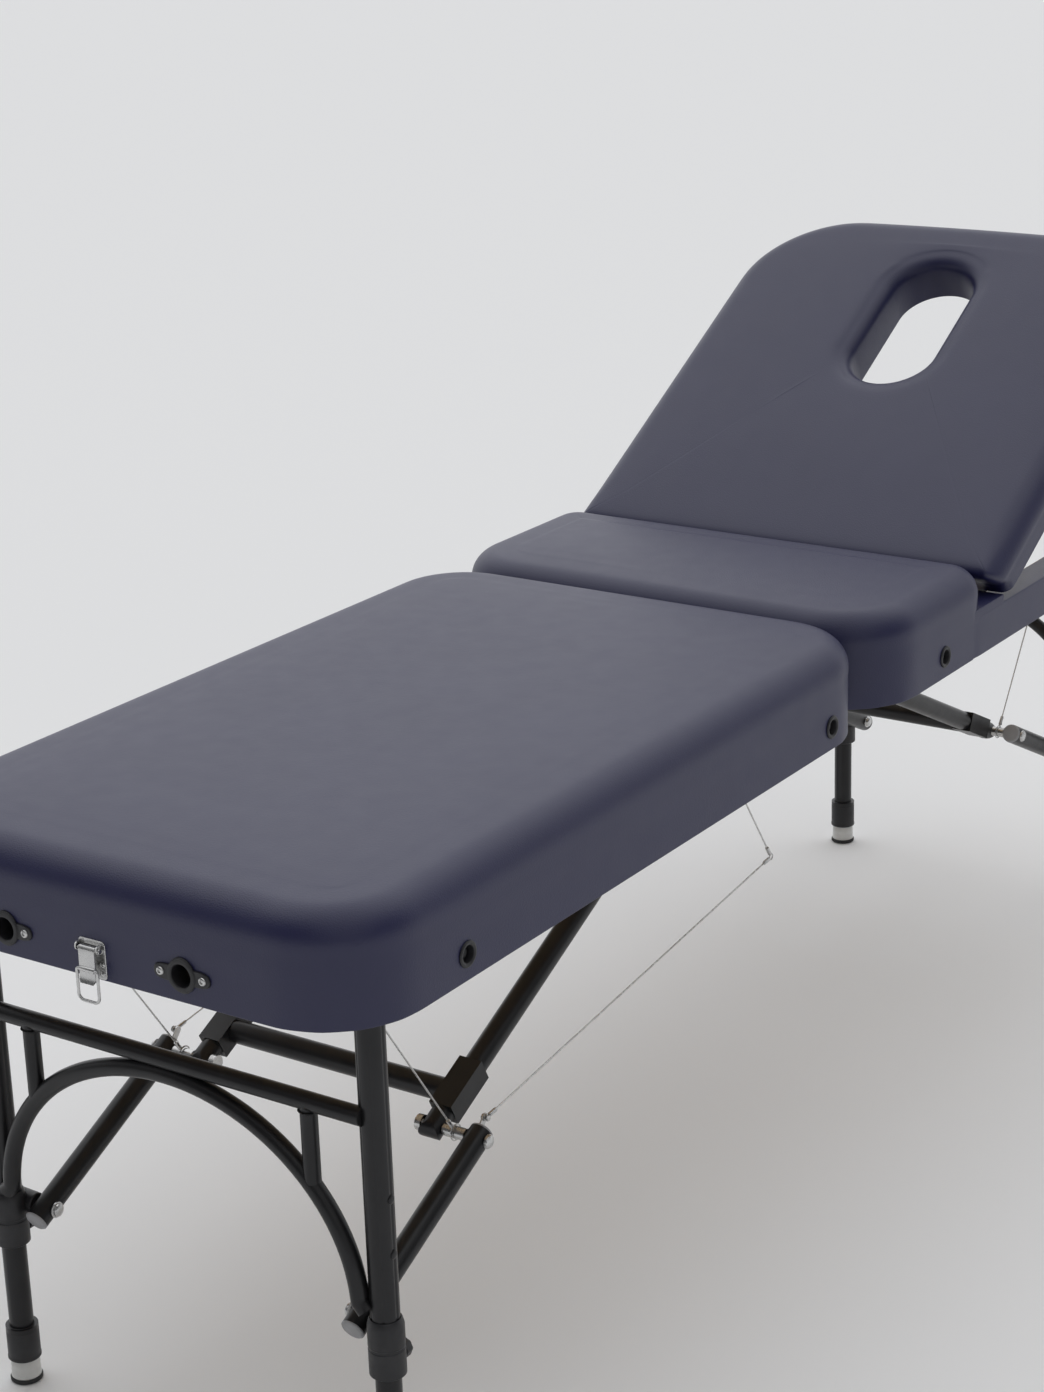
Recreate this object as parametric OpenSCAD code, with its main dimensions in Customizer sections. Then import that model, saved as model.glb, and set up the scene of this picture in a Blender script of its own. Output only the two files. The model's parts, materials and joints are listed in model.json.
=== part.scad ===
// Folding massage table with a raised backrest and two linked leg frames.
// Origin on the floor under the centre hinge, +X towards the backrest end, +Y to the left, +Z up.

/* [Table] */
// Length of one half, from the centre to the end
half_length = 975; // [960:1:990]
// Width over the vinyl
table_width = 600; // [596:1:606]
// Height of the underside of the frame above the floor
frame_bottom = 550; // [548:1:556]
// Height of the timber rails
rail_height = 50; // [48:1:54]
// Thickness of the timber rails
rail_thickness = 36; // [32:1:37]
// Radius of the table corners in plan
corner_radius = 95; // [85:1:100]
// Thickness of the plywood decks
deck_thickness = 9; // [8:0.5:10]
// Thickness of the foam
foam_thickness = 52; // [48:1:56]
// Thickness of the vinyl
vinyl_thickness = 1; // [0.8:0.1:1.2]
// Gap between the two halves at the centre
centre_gap = 3; // [2:0.5:5]
// Length of the flat pad between the centre and the backrest
fixed_pad_length = 288.5; // [280:0.5:290]

/* [Legs] */
// Distance of the leg axis from the centre of the table
leg_x = 880; // [878:1:882]
// Distance of the foot-end legs from the centreline
foot_leg_y = 240; // [239:1:241]
// Distance of the backrest-end legs from the centreline
head_leg_y = 203; // [202:1:204]
// Outer diameter of the upper leg tube
outer_tube_d = 28.6; // [28:0.1:29]
// Bore of the upper leg tube
outer_tube_bore = 25.6; // [25.6:0.1:26]
// Outer diameter of the lower leg tube
inner_tube_d = 25.4; // [25:0.1:25.4]
// Height of the lower end of the upper leg tube
outer_tube_end = 162; // [155:1:165]
// Diameter of the cross bar
cross_bar_d = 18.5; // [16:0.5:19]
// Height of the cross bar
cross_bar_z = 433; // [428:1:436]
// Diameter of the arched bar
arch_tube_d = 18.5; // [16:0.5:18.5]
// Height of the ends of the arch
arch_base_z = 230; // [228:1:234]
// Rise of the arch above its ends
arch_rise = 187; // [180:1:188]

/* [Braces] */
// Diameter of the brace tubes
brace_d = 25; // [22:0.5:25]
// Distance of the foot-end lower links from the centreline
foot_lower_y = 202; // [201:1:203]
// Distance of the foot-end upper links from the centreline
foot_upper_y = 150; // [148:1:150]
// Distance of the backrest-end lower links from the centreline
head_lower_y = 168; // [167:1:169]
// Distance of the backrest-end upper links from the centreline
head_upper_y = 125; // [123:1:125]

/* [Backrest] */
// Angle of the backrest above the flat position
backrest_angle = 29.5; // [0:0.5:60]
// Distance of the backrest hinge from the centre of the table
backrest_hinge_x = 340; // [339:1:341]
// Distance of the free end of the backrest, laid flat, from the centre of the table
backrest_end = 962; // [955:1:975]
// Length of the prop and of its lever arm on the board
prop_length = 270; // [268:1:272]
// Length of the oval face hole
face_hole_length = 240; // [220:1:250]
// Width of the oval face hole
face_hole_width = 115; // [100:1:120]
// Distance of the middle of the face hole from the free end
face_hole_from_end = 205; // [200:1:215]

/* [Fittings] */
// Bore of the face cradle sockets
socket_bore = 22.4; // [20:0.1:24]
// Distance of the face cradle sockets from the centreline
socket_y = 107; // [100:1:115]
// Diameter of the side plugs
plug_d = 26; // [22:1:30]
// Diameter of the steel stay cables
cable_d = 2.5; // [2:0.1:3]

/* [Hidden] */
$fn = 64;

// Surfaces
navy = [0.27, 0.28, 0.36];
charcoal = [0.13, 0.13, 0.14];
timber = [0.72, 0.55, 0.36];
foam_colour = [0.93, 0.88, 0.70];
steel = [0.70, 0.71, 0.72];
pale_plastic = [0.88, 0.88, 0.86];
black_plastic = [0.06, 0.06, 0.07];

// Small fits
fit_gap = 0.2;
skin = vinyl_thickness + fit_gap;
joint_gap = 0.4;
over = 1;

// Heights
rail_top = frame_bottom + rail_height;
deck_top = rail_top + deck_thickness;
pad_top = deck_top + foam_thickness + vinyl_thickness;
leg_pivot_z = frame_bottom + 19;
folded_link_z = frame_bottom + 34;
centre_hinge_z = frame_bottom - 5;

// Frame
half_width = table_width / 2;
inner_start = centre_gap / 2;
rail_inset = skin + rail_thickness;
rail_inner_y = half_width - rail_inset;
rod_d = 10;
rod_half = rail_inner_y + 22;
rod_hole = rod_d + 0.2;
rail_split_out = leg_x + 35;
rail_split_in = 60;
corner_split_y = half_width - corner_radius;
mid_rail_x = 296;
fixed_deck_end = backrest_hinge_x - 8;
fixed_corner = 40;

// Leg frame
bar_offset = 12;
bar_x = leg_x + bar_offset;
collar_h = 60;
collar_d = outer_tube_d + 7.4;
knob_z = outer_tube_end + 14;
knob_screw_d = 6;
link_pivot_x = leg_x - 15;
link_pivot_z = 205;
stud_d = 8;
inner_tube_top = 450;
inner_tube_bore = inner_tube_d - 4;
groove_w = 8;
groove_depth = 1.2;
tip_top = 27;
ferrule_top = 65;
ferrule_d = 34;

// Brace links, which line up when the table is open
knee_x = 669;
knee_z = 301;
upper_pivot_x = 90;
link_rise = knee_z - link_pivot_z;
link_run = link_pivot_x - knee_x;
link_angle = atan2(link_rise, link_run);
lower_link_length = sqrt(link_run * link_run + link_rise * link_rise);
upper_link_length = norm([knee_x - upper_pivot_x, folded_link_z - knee_z]);
upper_link_angle = atan2(folded_link_z - knee_z, knee_x - upper_pivot_x);
link_wall = 2;
link_overhang = 18;
knee_overhang = 8;
knee_plug = 14;
upper_overhang = 8;
knee_bolt_d = 10;
knee_nut_d = 17;
knee_spacer_d = 13;
gusset_length = 62;
gusset_start = 18;
gusset_width = 27;
gusset_height = 26;
cross_tube_along = 44;

// Backrest
hinge_z = deck_top + 2;
nose_r = pad_top - hinge_z - 0.5;
nose_angle = 30;
hinge_relief_r = 7;
backrest_corner = 145;
backrest_low_corner = 15;
board_z = rail_top + 0.3;
board_start = backrest_hinge_x + 8;
hinge_y = 180;
prop_pivot_drop = 17;
prop_y = 240;
prop_d = 10;
prop_pin_d = 6;
prop_boss_d = 12;
lug_w = 18;
lug_t = 5;
board_knuckle_w = 16;
board_leaf_l = 44;
board_leaf_w = 50;
board_leaf_t = 1.9;
deck_knuckle_w = 13.6;
deck_leaf_l = 31;
deck_leaf_w = 44;
deck_leaf_t = 1.7;
rack_pitch = 20;
rack_in_y = 250;
rack_start = 612;
rack_end = 872;
hole_mid_x = backrest_end - face_hole_from_end;

// Fittings
centre_hinge_y = 200;
hinge_leaf_l = 30;
hinge_leaf_w = 40;
hinge_leaf_t = 2.4;
knuckle_d = 9;
middle_knuckle_w = 13.4;
hinge_pin_d = 5;
socket_z = 577;
socket_flange_t = 2.5;
socket_flange_r = 18;
socket_ear_r = 8.5;
socket_sleeve_d = socket_bore + 5.6;
socket_depth = 72;
socket_screw_dy = 24.5;
socket_screw_l = 22;
screw_d = 4;
screw_head_d = 8;
screw_head_h = 1.8;
plug_z = 576;
plug_proud = 2.5;
plug_shank_l = 25;
foot_plug_x = [-809, -111];
head_plug_x = [171, 809];
latch_pin_x = -980.5;
latch_pin_z = 581;
latch_pin_d = 3;
latch_plate_t = 1.5;
latch_plate_w = 32;
latch_plate_h = 38;
latch_ear_t = 2;
lever_w = 20;
lever_t = 2;
bail_pin_x = -985;
bail_pin_z = 562;
bail_bottom_z = 530.5;
bail_wire_d = 3;
bail_half_w = 13;
keeper_z = 553.5;

// Stay cables: points along the route of the left side of each half
foot_stay_outer = [[-835, 176, 549], [-678, 176, 316]];
foot_stay_inner = [[-644, 202, 313.5], [-72, 202, 390], [-177, 202, 549]];
head_stay_outer = [[835, 145, 549], [678, 145, 316]];

// ---------- shared shapes ----------

// Rectangle from x0 to x1 with corners of radius r0 at x0 and r1 at x1
module plan(x0, x1, w, r0, r1) {
  translate([x0 + r0, -w / 2]) square([x1 - x0 - r0 - r1, w]);
  translate([x0, -w / 2 + r0]) square([r0 + 0.1, w - 2 * r0]);
  translate([x1 - r1 - 0.1, -w / 2 + r1]) square([r1 + 0.1, w - 2 * r1]);
  for (s = [-1, 1]) {
    translate([x0 + r0, s * (w / 2 - r0)]) circle(r0);
    translate([x1 - r1, s * (w / 2 - r1)]) circle(r1);
  }
}

// Plan of one half, on the +X side, drawn in by the given inset
module half_plan(inset) {
  plan(inner_start + inset, half_length - inset, table_width - 2 * inset,
       corner_radius - inset, corner_radius - inset);
}

// Cylinder along Y, from y0 to y1
module y_rod(x, z, d, y0, y1) {
  translate([x, y0, z]) rotate([-90, 0, 0]) cylinder(d = d, h = y1 - y0);
}

// Cylinder along X, from x0 to x1
module x_rod(y, z, d, x0, x1) {
  translate([x0, y, z]) rotate([0, 90, 0]) cylinder(d = d, h = x1 - x0);
}

// Straight wire between two points
module wire(a, b, d) {
  run = b - a;
  turn = atan2(run[1], run[0]);
  lean = atan2(norm([run[0], run[1]]), run[2]);
  translate(a) rotate([0, lean, turn]) cylinder(d = d, h = norm(run));
}

// Children on both sides of the centreline
module both_sides() {
  children();
  mirror([0, 1, 0]) children();
}

// Children moved from the +X half to the foot half
module foot_half() {
  mirror([1, 0, 0]) children();
}

// ---------- timber frame of one half, on the +X side ----------

module rail_ring() {
  difference() {
    half_plan(skin);
    half_plan(rail_inset);
  }
}

module side_rails() {
  difference() {
    translate([0, 0, frame_bottom]) linear_extrude(rail_height) intersection() {
      rail_ring();
      for (s = [-1, 1])
        translate([rail_split_in, s > 0 ? corner_split_y : -half_width])
          square([rail_split_out - rail_split_in, corner_radius]);
    }
    both_sides() {
      y_rod(leg_x, leg_pivot_z, rod_hole, rail_inner_y - 5, rod_half + 0.5);
      y_rod(upper_pivot_x, folded_link_z, rod_hole, rail_inner_y - 5, rod_half + 0.5);
    }
  }
}

module corner_blocks() {
  for (s = [-1, 1], x = [0, rail_split_out + joint_gap])
    translate([x, s > 0 ? corner_split_y + joint_gap : -half_width])
      square([rail_split_in - joint_gap, corner_radius - joint_gap]);
}

module cross_rail_areas() {
  for (x = [0, half_length - rail_inset])
    translate([x, -corner_split_y]) square([rail_inset + inner_start, 2 * corner_split_y]);
  corner_blocks();
}

module cross_rails() {
  translate([0, 0, frame_bottom]) linear_extrude(rail_height) intersection() {
    rail_ring();
    cross_rail_areas();
  }
}

// Bores through an end rail for the face cradle sockets and their screws
module socket_bores(d) {
  both_sides() {
    x_rod(socket_y, socket_z, d, half_length - socket_depth - over, half_length + over);
    for (dy = [-1, 1] * socket_screw_dy)
      x_rod(socket_y + dy, socket_z, screw_d, half_length - socket_screw_l - 2, half_length + over);
  }
}

module foot_side_rails() {
  color(timber) foot_half() difference() {
    side_rails();
    plug_bores(-foot_plug_x);
  }
}

module foot_cross_rails() {
  color(timber) foot_half() difference() {
    cross_rails();
    socket_bores(socket_sleeve_d + 0.4);
  }
}

module head_side_rails() {
  color(timber) difference() {
    side_rails();
    plug_bores(head_plug_x);
  }
}

// Notches under the mid rail, one on each side, which a folded tube of the given diameter lies in
module mid_rail_notch(y, d, z) {
  width = d + 9;
  both_sides() translate([mid_rail_x - over, y - width / 2, frame_bottom - over])
    cube([rail_thickness + 2 * over, width, z + d / 2 + 0.6 - frame_bottom + over]);
}

module head_cross_rails() {
  color(timber) {
    cross_rails();
    difference() {
      translate([mid_rail_x, joint_gap - rail_inner_y, frame_bottom])
        cube([rail_thickness, 2 * (rail_inner_y - joint_gap), rail_height]);
      mid_rail_notch(head_upper_y, brace_d, folded_link_z);
      mid_rail_notch(head_leg_y, ferrule_d, leg_pivot_z);
    }
  }
}

// ---------- decks, foam and vinyl ----------

module foot_deck() {
  color(timber) foot_half() translate([0, 0, rail_top]) linear_extrude(deck_thickness)
    half_plan(skin);
}

module foot_foam() {
  color(foam_colour) foot_half() translate([0, 0, deck_top])
    linear_extrude(foam_thickness - fit_gap) half_plan(skin);
}

module foot_cover() {
  color(navy) foot_half() difference() {
    translate([0, 0, frame_bottom]) linear_extrude(pad_top - frame_bottom) half_plan(0);
    translate([0, 0, frame_bottom - over])
      linear_extrude(pad_top - vinyl_thickness - frame_bottom + over) half_plan(vinyl_thickness);
    socket_bores(socket_sleeve_d + 0.4);
    plug_bores(-foot_plug_x);
  }
}

module fixed_plan(inset) {
  plan(inner_start + inset, fixed_pad_length - inset, table_width - 2 * inset,
       corner_radius - inset, fixed_corner - inset);
}

module head_deck() {
  color(timber) translate([0, 0, rail_top]) linear_extrude(deck_thickness)
    plan(inner_start + skin, fixed_deck_end, table_width - 2 * skin, corner_radius - skin, 2);
}

module head_foam() {
  color(foam_colour) translate([0, 0, deck_top]) linear_extrude(foam_thickness - fit_gap)
    fixed_plan(skin);
}

module head_cover() {
  color(navy) difference() {
    union() {
      translate([0, 0, frame_bottom]) linear_extrude(rail_height) half_plan(0);
      translate([0, 0, frame_bottom]) linear_extrude(pad_top - frame_bottom) fixed_plan(0);
    }
    translate([0, 0, frame_bottom - over]) linear_extrude(rail_height + 2 * over)
      half_plan(vinyl_thickness);
    translate([0, 0, rail_top - over]) linear_extrude(deck_thickness + over + 0.1)
      plan(inner_start + vinyl_thickness, fixed_deck_end + over, table_width - 2 * vinyl_thickness,
           corner_radius - vinyl_thickness, 2);
    translate([0, 0, deck_top - over])
      linear_extrude(pad_top - vinyl_thickness - deck_top + over) fixed_plan(vinyl_thickness);
    plug_bores(head_plug_x);
  }
}

// ---------- frame fittings ----------

// Bores in the side rails for the round plugs, at the given distances from the centre
module plug_bores(places) {
  both_sides()
    for (x = places)
      y_rod(x, plug_z, plug_d - 4, half_width - plug_shank_l - 1, half_width + over);
}

module side_plug(x) {
  difference() {
    union() {
      y_rod(x, plug_z, plug_d, half_width, half_width + plug_proud);
      y_rod(x, plug_z, plug_d - 4.4, half_width - plug_shank_l, half_width + 0.5);
    }
    y_rod(x, plug_z, plug_d - 11, half_width - 1, half_width + plug_proud + over);
  }
}

module foot_side_plugs() {
  color(black_plastic) both_sides() for (x = foot_plug_x) side_plug(x);
}

module head_side_plugs() {
  color(black_plastic) both_sides() for (x = head_plug_x) side_plug(x);
}

module pivot_rods() {
  y_rod(leg_x, leg_pivot_z, rod_d, -rod_half, rod_half);
  y_rod(upper_pivot_x, folded_link_z, rod_d, -rod_half, rod_half);
}

module foot_pivot_rods() {
  color(steel) foot_half() pivot_rods();
}

module head_pivot_rods() {
  color(steel) pivot_rods();
}

module socket_flange() {
  for (dy = [-1, 1])
    translate([dy * socket_screw_dy, 0]) circle(socket_ear_r);
  circle(socket_flange_r);
  waist = socket_flange_r - 0.5;
  ear = socket_ear_r - 0.5;
  polygon([for (p = [[-1, ear], [0, waist], [1, ear], [1, -ear], [0, -waist], [-1, -ear]])
    [p[0] * (socket_screw_dy + 2.5), p[1]]]);
}

module face_cradle_sockets() {
  color(black_plastic) foot_half() both_sides() difference() {
    union() {
      translate([half_length, socket_y, socket_z]) rotate([90, 0, 90])
        linear_extrude(socket_flange_t) socket_flange();
      x_rod(socket_y, socket_z, socket_sleeve_d, half_length - socket_depth, half_length + 0.5);
    }
    x_rod(socket_y, socket_z, socket_bore, half_length - socket_depth - over,
          half_length + socket_flange_t + over);
    for (dy = [-1, 1] * socket_screw_dy)
      x_rod(socket_y + dy, socket_z, screw_d, half_length - over, half_length + 5);
  }
}

module socket_screws() {
  color(steel) foot_half() both_sides() for (dy = [-1, 1] * socket_screw_dy) {
    x_rod(socket_y + dy, socket_z, screw_d - 0.3, half_length - socket_screw_l, half_length + 3);
    x_rod(socket_y + dy, socket_z, screw_head_d, half_length + socket_flange_t,
          half_length + socket_flange_t + screw_head_h);
  }
}

// Knuckles and leaves of the centre hinges; the leaf lies under the centre rail
module hinge_leaf(knuckles) {
  leaf_z = frame_bottom - hinge_leaf_t - 0.1;
  leaf_start = 5.5;
  for (y = [-1, 1] * centre_hinge_y) {
    translate([leaf_start, y - hinge_leaf_w / 2, leaf_z])
      cube([hinge_leaf_l, hinge_leaf_w, hinge_leaf_t]);
    for (k = knuckles) {
      translate([0, y + k[0], leaf_z]) cube([leaf_start + 0.5, k[1] - k[0], hinge_leaf_t]);
      y_rod(0, centre_hinge_z, knuckle_d, y + k[0], y + k[1]);
    }
  }
}

module foot_centre_hinges() {
  color(steel) foot_half() {
    difference() {
      hinge_leaf([[-hinge_leaf_w / 2, -7], [7, hinge_leaf_w / 2]]);
      y_rod(0, centre_hinge_z, hinge_pin_d, -half_width, half_width);
    }
    for (y = [-1, 1] * centre_hinge_y)
      y_rod(0, centre_hinge_z, hinge_pin_d, y - hinge_leaf_w / 2, y + hinge_leaf_w / 2);
  }
}

module head_centre_hinges() {
  color(steel) difference() {
    hinge_leaf([[-middle_knuckle_w / 2, middle_knuckle_w / 2]]);
    y_rod(0, centre_hinge_z, hinge_pin_d + 0.1, -half_width, half_width);
  }
}

// ---------- draw latch at the foot end ----------

module latch_plate() {
  ear_out = lever_w / 2 + 3.5;
  color(steel) {
    translate([-half_length - latch_plate_t, -latch_plate_w / 2, frame_bottom + 1])
      cube([latch_plate_t, latch_plate_w, latch_plate_h]);
    for (y = [-ear_out, ear_out - latch_ear_t])
      difference() {
        translate([latch_pin_x - latch_pin_d, y, latch_pin_z - 4])
          cube([-half_length - 1 - latch_pin_x + latch_pin_d, latch_ear_t, 8]);
        y_rod(latch_pin_x, latch_pin_z, latch_pin_d, -lever_w, lever_w);
      }
    y_rod(latch_pin_x, latch_pin_z, latch_pin_d, -ear_out - 1, ear_out + 1);
  }
}

module latch_lever() {
  eye_d = 6.4;
  lever_end_z = frame_bottom - 2;
  color(steel) difference() {
    union() {
      y_rod(latch_pin_x, latch_pin_z, eye_d, -lever_w / 2, lever_w / 2);
      translate([latch_pin_x - eye_d / 2, -lever_w / 2, lever_end_z])
        cube([lever_t, lever_w, latch_pin_z - lever_end_z]);
      y_rod(bail_pin_x, bail_pin_z, eye_d - 0.8, -lever_w / 2, lever_w / 2);
    }
    y_rod(latch_pin_x, latch_pin_z, latch_pin_d + 0.1, -lever_w, lever_w);
    y_rod(bail_pin_x, bail_pin_z, bail_wire_d + 0.1, -lever_w, lever_w);
  }
}

module latch_bail() {
  color(steel) {
    y_rod(bail_pin_x, bail_pin_z, bail_wire_d, -bail_half_w, bail_half_w);
    y_rod(bail_pin_x, bail_bottom_z, bail_wire_d, -bail_half_w, bail_half_w);
    for (y = [-bail_half_w, bail_half_w])
      translate([bail_pin_x, y, 0]) {
        translate([0, 0, bail_bottom_z])
          cylinder(d = bail_wire_d, h = bail_pin_z - bail_bottom_z);
        for (z = [bail_pin_z, bail_bottom_z]) translate([0, 0, z]) sphere(d = bail_wire_d);
      }
  }
}

module latch_keeper() {
  color(steel) {
    translate([half_length, -15, frame_bottom + 1]) cube([1.5, 30, 26]);
    translate([half_length + 1, -7, keeper_z - 2.5]) cube([5, 14, 5]);
  }
}

// ---------- leg frame, on the +X side ----------

module outer_legs(y) {
  both_sides() difference() {
    translate([leg_x, y, outer_tube_end]) cylinder(d = outer_tube_d, h = leg_pivot_z + 14 - outer_tube_end);
    translate([leg_x, y, outer_tube_end - over])
      cylinder(d = outer_tube_bore, h = leg_pivot_z + 16 - outer_tube_end);
    y_rod(leg_x, leg_pivot_z, rod_d + 0.1, y - 20, y + 20);
    x_rod(y, knob_z, knob_screw_d + 0.2, leg_x - 20, leg_x - 8);
  }
}

module leg_clearance(y) {
  both_sides() translate([leg_x, y, 0]) cylinder(d = outer_tube_d + 0.2, h = leg_pivot_z + 20);
}

module cross_bar(y) {
  difference() {
    y_rod(bar_x, cross_bar_z, cross_bar_d, 4 - y, y - 4);
    leg_clearance(y);
  }
}

// Rings of a tube of diameter d swept along points in the plane x = bar_x
function arch_ring(p, lean, d, sides) =
  [for (k = [0 : sides - 1])
    let (a = 360 * k / sides)
    [bar_x + d / 2 * cos(a), p[0] + d / 2 * sin(a) * cos(lean), p[1] + d / 2 * sin(a) * sin(lean)]];

module swept_tube(points, leans, d, sides) {
  n = len(points);
  verts = [for (i = [0 : n - 1]) each arch_ring(points[i], leans[i], d, sides)];
  walls = [for (i = [0 : n - 2], k = [0 : sides - 1])
    let (m = (k + 1) % sides)
    [i * sides + k, (i + 1) * sides + k, (i + 1) * sides + m, i * sides + m]];
  ends = [[for (k = [0 : sides - 1]) k], [for (k = [sides - 1 : -1 : 0]) (n - 1) * sides + k]];
  polyhedron(verts, concat(walls, ends));
}

module arch(y, strut_y) {
  semi_y = y - 19;
  steps = 40;
  points = [for (i = [0 : steps])
    let (a = 180 * i / steps)
    [-semi_y * cos(a), arch_base_z + arch_rise * sin(a)]];
  leans = [for (i = [0 : steps])
    let (a = 180 * i / steps)
    atan2(arch_rise * cos(a), semi_y * sin(a)) - 90];
  strut_foot_z = arch_base_z + arch_rise * sqrt(1 - pow(strut_y / semi_y, 2));
  difference() {
    union() {
      swept_tube(points, leans, arch_tube_d, 16);
      both_sides() translate([bar_x, strut_y, strut_foot_z])
        cylinder(d = 17, h = cross_bar_z - strut_foot_z);
    }
    leg_clearance(y);
    y_rod(bar_x, cross_bar_z, cross_bar_d + 0.2, -y, y);
  }
}

// Collar on the end of each upper tube, with the boss and stud of the lower link
module leg_brackets(y, link_y) {
  both_sides() {
    difference() {
      union() {
        translate([leg_x, y, outer_tube_end]) cylinder(d = collar_d, h = collar_h);
        y_rod(link_pivot_x, link_pivot_z, 22, link_y + brace_d / 2 + 1, y);
      }
      translate([leg_x, y, outer_tube_end - over])
        cylinder(d = outer_tube_d + 0.2, h = collar_h + 2 * over);
      x_rod(y, knob_z, knob_screw_d + 0.2, leg_x - 24, leg_x - 8);
    }
    y_rod(link_pivot_x, link_pivot_z, stud_d, link_y - brace_d / 2 - 4, link_y + brace_d / 2 + 2);
    y_rod(link_pivot_x, link_pivot_z, 14, link_y - brace_d / 2 - 4, link_y - brace_d / 2 - 0.5);
  }
}

module inner_leg(y) {
  translate([leg_x, y, 0]) difference() {
    union() {
      translate([0, 0, tip_top]) cylinder(d = inner_tube_d, h = inner_tube_top - tip_top);
      translate([0, 0, tip_top]) cylinder(d = ferrule_d, h = ferrule_top - tip_top);
    }
    translate([0, 0, ferrule_top]) cylinder(d = inner_tube_bore, h = inner_tube_top);
    translate([groove_depth - inner_tube_d / 2 - 5, -groove_w / 2, ferrule_top + 5])
      cube([5, groove_w, inner_tube_top]);
  }
}

module tip(y) {
  translate([leg_x, y, 0]) {
    cylinder(d = ferrule_d, h = 6);
    cylinder(d = ferrule_d - 4, h = tip_top);
  }
}

// Thumb screw in the collar, its tip in the groove of the lower tube
module leg_knob(y) {
  reach = inner_tube_d / 2 - groove_depth / 2;
  head_start = collar_d / 2 + 0.5;
  x_rod(y, knob_z, knob_screw_d, leg_x - head_start - 1, leg_x - reach);
  x_rod(y, knob_z, 12, leg_x - head_start - 4, leg_x - head_start);
  x_rod(y, knob_z, 20, leg_x - head_start - 11, leg_x - head_start - 3);
}

// ---------- brace links, on the +X side ----------

// Children drawn along +X from the knee, turned to lie along the links
module along_links(angle) {
  translate([knee_x, 0, knee_z]) rotate([0, angle, 0]) children();
}

module link_tube(y, x0, x1) {
  difference() {
    x_rod(y, 0, brace_d, x0, x1);
    x_rod(y, 0, brace_d - 2 * link_wall, x0 - over, x1 + over);
  }
}

module lower_links(y) {
  both_sides() along_links(link_angle) difference() {
    link_tube(y, -knee_overhang, lower_link_length + link_overhang);
    y_rod(lower_link_length, 0, stud_d + 0.15, y - 20, y + 20);
    y_rod(0, 0, knee_bolt_d + 0.4, y - 20, y + 20);
  }
}

// Plugged end of an upper link, rounded about the knee bolt
module round_tube_end(y) {
  intersection() {
    x_rod(y, 0, brace_d - 0.2, -over, brace_d);
    y_rod(0, 0, brace_d - 0.4, y - brace_d, y + brace_d);
  }
}

module upper_links(y) {
  both_sides() along_links(upper_link_angle) difference() {
    union() {
      x_rod(y, 0, brace_d, -upper_link_length - upper_overhang, 0);
      round_tube_end(y);
      translate([-gusset_start - gusset_length, y - gusset_width / 2, -gusset_height / 2])
        cube([gusset_length, gusset_width, gusset_height]);
    }
    x_rod(y, 0, brace_d - 2 * link_wall, -upper_link_length - upper_overhang - over, -knee_plug);
    y_rod(-upper_link_length, 0, rod_d + 0.1, y - 20, y + 20);
    y_rod(0, 0, knee_bolt_d + 0.2, y - 20, y + 20);
    y_rod(-cross_tube_along, 0, brace_d - 6 + 0.2, -y, y - 5);
  }
}

module link_cross_tube(y) {
  inner_face = y - gusset_width / 2 - 0.1;
  along_links(upper_link_angle) difference() {
    union() {
      y_rod(-cross_tube_along, 0, brace_d, -inner_face, inner_face);
      y_rod(-cross_tube_along, 0, brace_d - 6, 6 - y, y - 6);
    }
    y_rod(-cross_tube_along, 0, brace_d - 9, -y, y);
  }
}

// Knee bolt with its nut inboard and its spacer between the two links
module knee_bolts(lower_y, upper_y) {
  tube_in = upper_y - brace_d / 2;
  tube_out = upper_y + brace_d / 2;
  spacer_end = lower_y - brace_d / 2 - 0.6;
  both_sides() along_links(upper_link_angle) {
    y_rod(0, 0, knee_bolt_d, tube_in - 6, spacer_end);
    y_rod(0, 0, knee_nut_d, tube_in - 7, tube_in - 0.3);
    y_rod(0, 0, knee_spacer_d, tube_out + 0.3, spacer_end);
  }
}

// ---------- backrest, drawn flat and then raised about its hinge ----------

module raised() {
  translate([backrest_hinge_x, 0, hinge_z]) rotate([0, -backrest_angle, 0])
    translate([-backrest_hinge_x, 0, -hinge_z]) children();
}

module backrest_plan(inset, start) {
  plan(start, backrest_end - inset, table_width - 2 * inset, backrest_low_corner,
       backrest_corner - inset);
}

module face_hole(grow, z0, z1) {
  r = face_hole_width / 2 + grow;
  flat = face_hole_length - face_hole_width;
  translate([hole_mid_x, 0, z0]) linear_extrude(z1 - z0) {
    square([flat, 2 * r], center = true);
    for (s = [-1, 1]) translate([s * flat / 2, 0]) circle(r);
  }
}

// Side outline of the cushion above height z0: a slab with a round nose over the hinge
module cushion_outline(inset, z0, wedge) {
  top = pad_top - inset;
  translate([backrest_hinge_x, z0]) square([backrest_end - backrest_hinge_x, top - z0]);
  intersection() {
    translate([backrest_hinge_x, hinge_z]) circle(nose_r - inset);
    translate([backrest_hinge_x, hinge_z])
      polygon([[0.1, 0], [0.1, 80], [-80 * tan(wedge), 80]]);
  }
}

module cushion_solid(inset, z0, wedge) {
  intersection() {
    translate([0, half_width, 0]) rotate([90, 0, 0]) linear_extrude(table_width)
      cushion_outline(inset, z0, wedge);
    translate([0, 0, frame_bottom]) linear_extrude(200)
      backrest_plan(inset, backrest_hinge_x - 60);
  }
}

module hinge_relief() {
  y_rod(backrest_hinge_x, hinge_z, 2 * hinge_relief_r, -half_width - over, half_width + over);
}

module backrest_board() {
  color(timber) raised() difference() {
    translate([0, 0, board_z]) linear_extrude(deck_top - board_z) backrest_plan(skin, board_start);
    face_hole(vinyl_thickness + fit_gap, rail_top - over, deck_top + over);
  }
}

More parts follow.
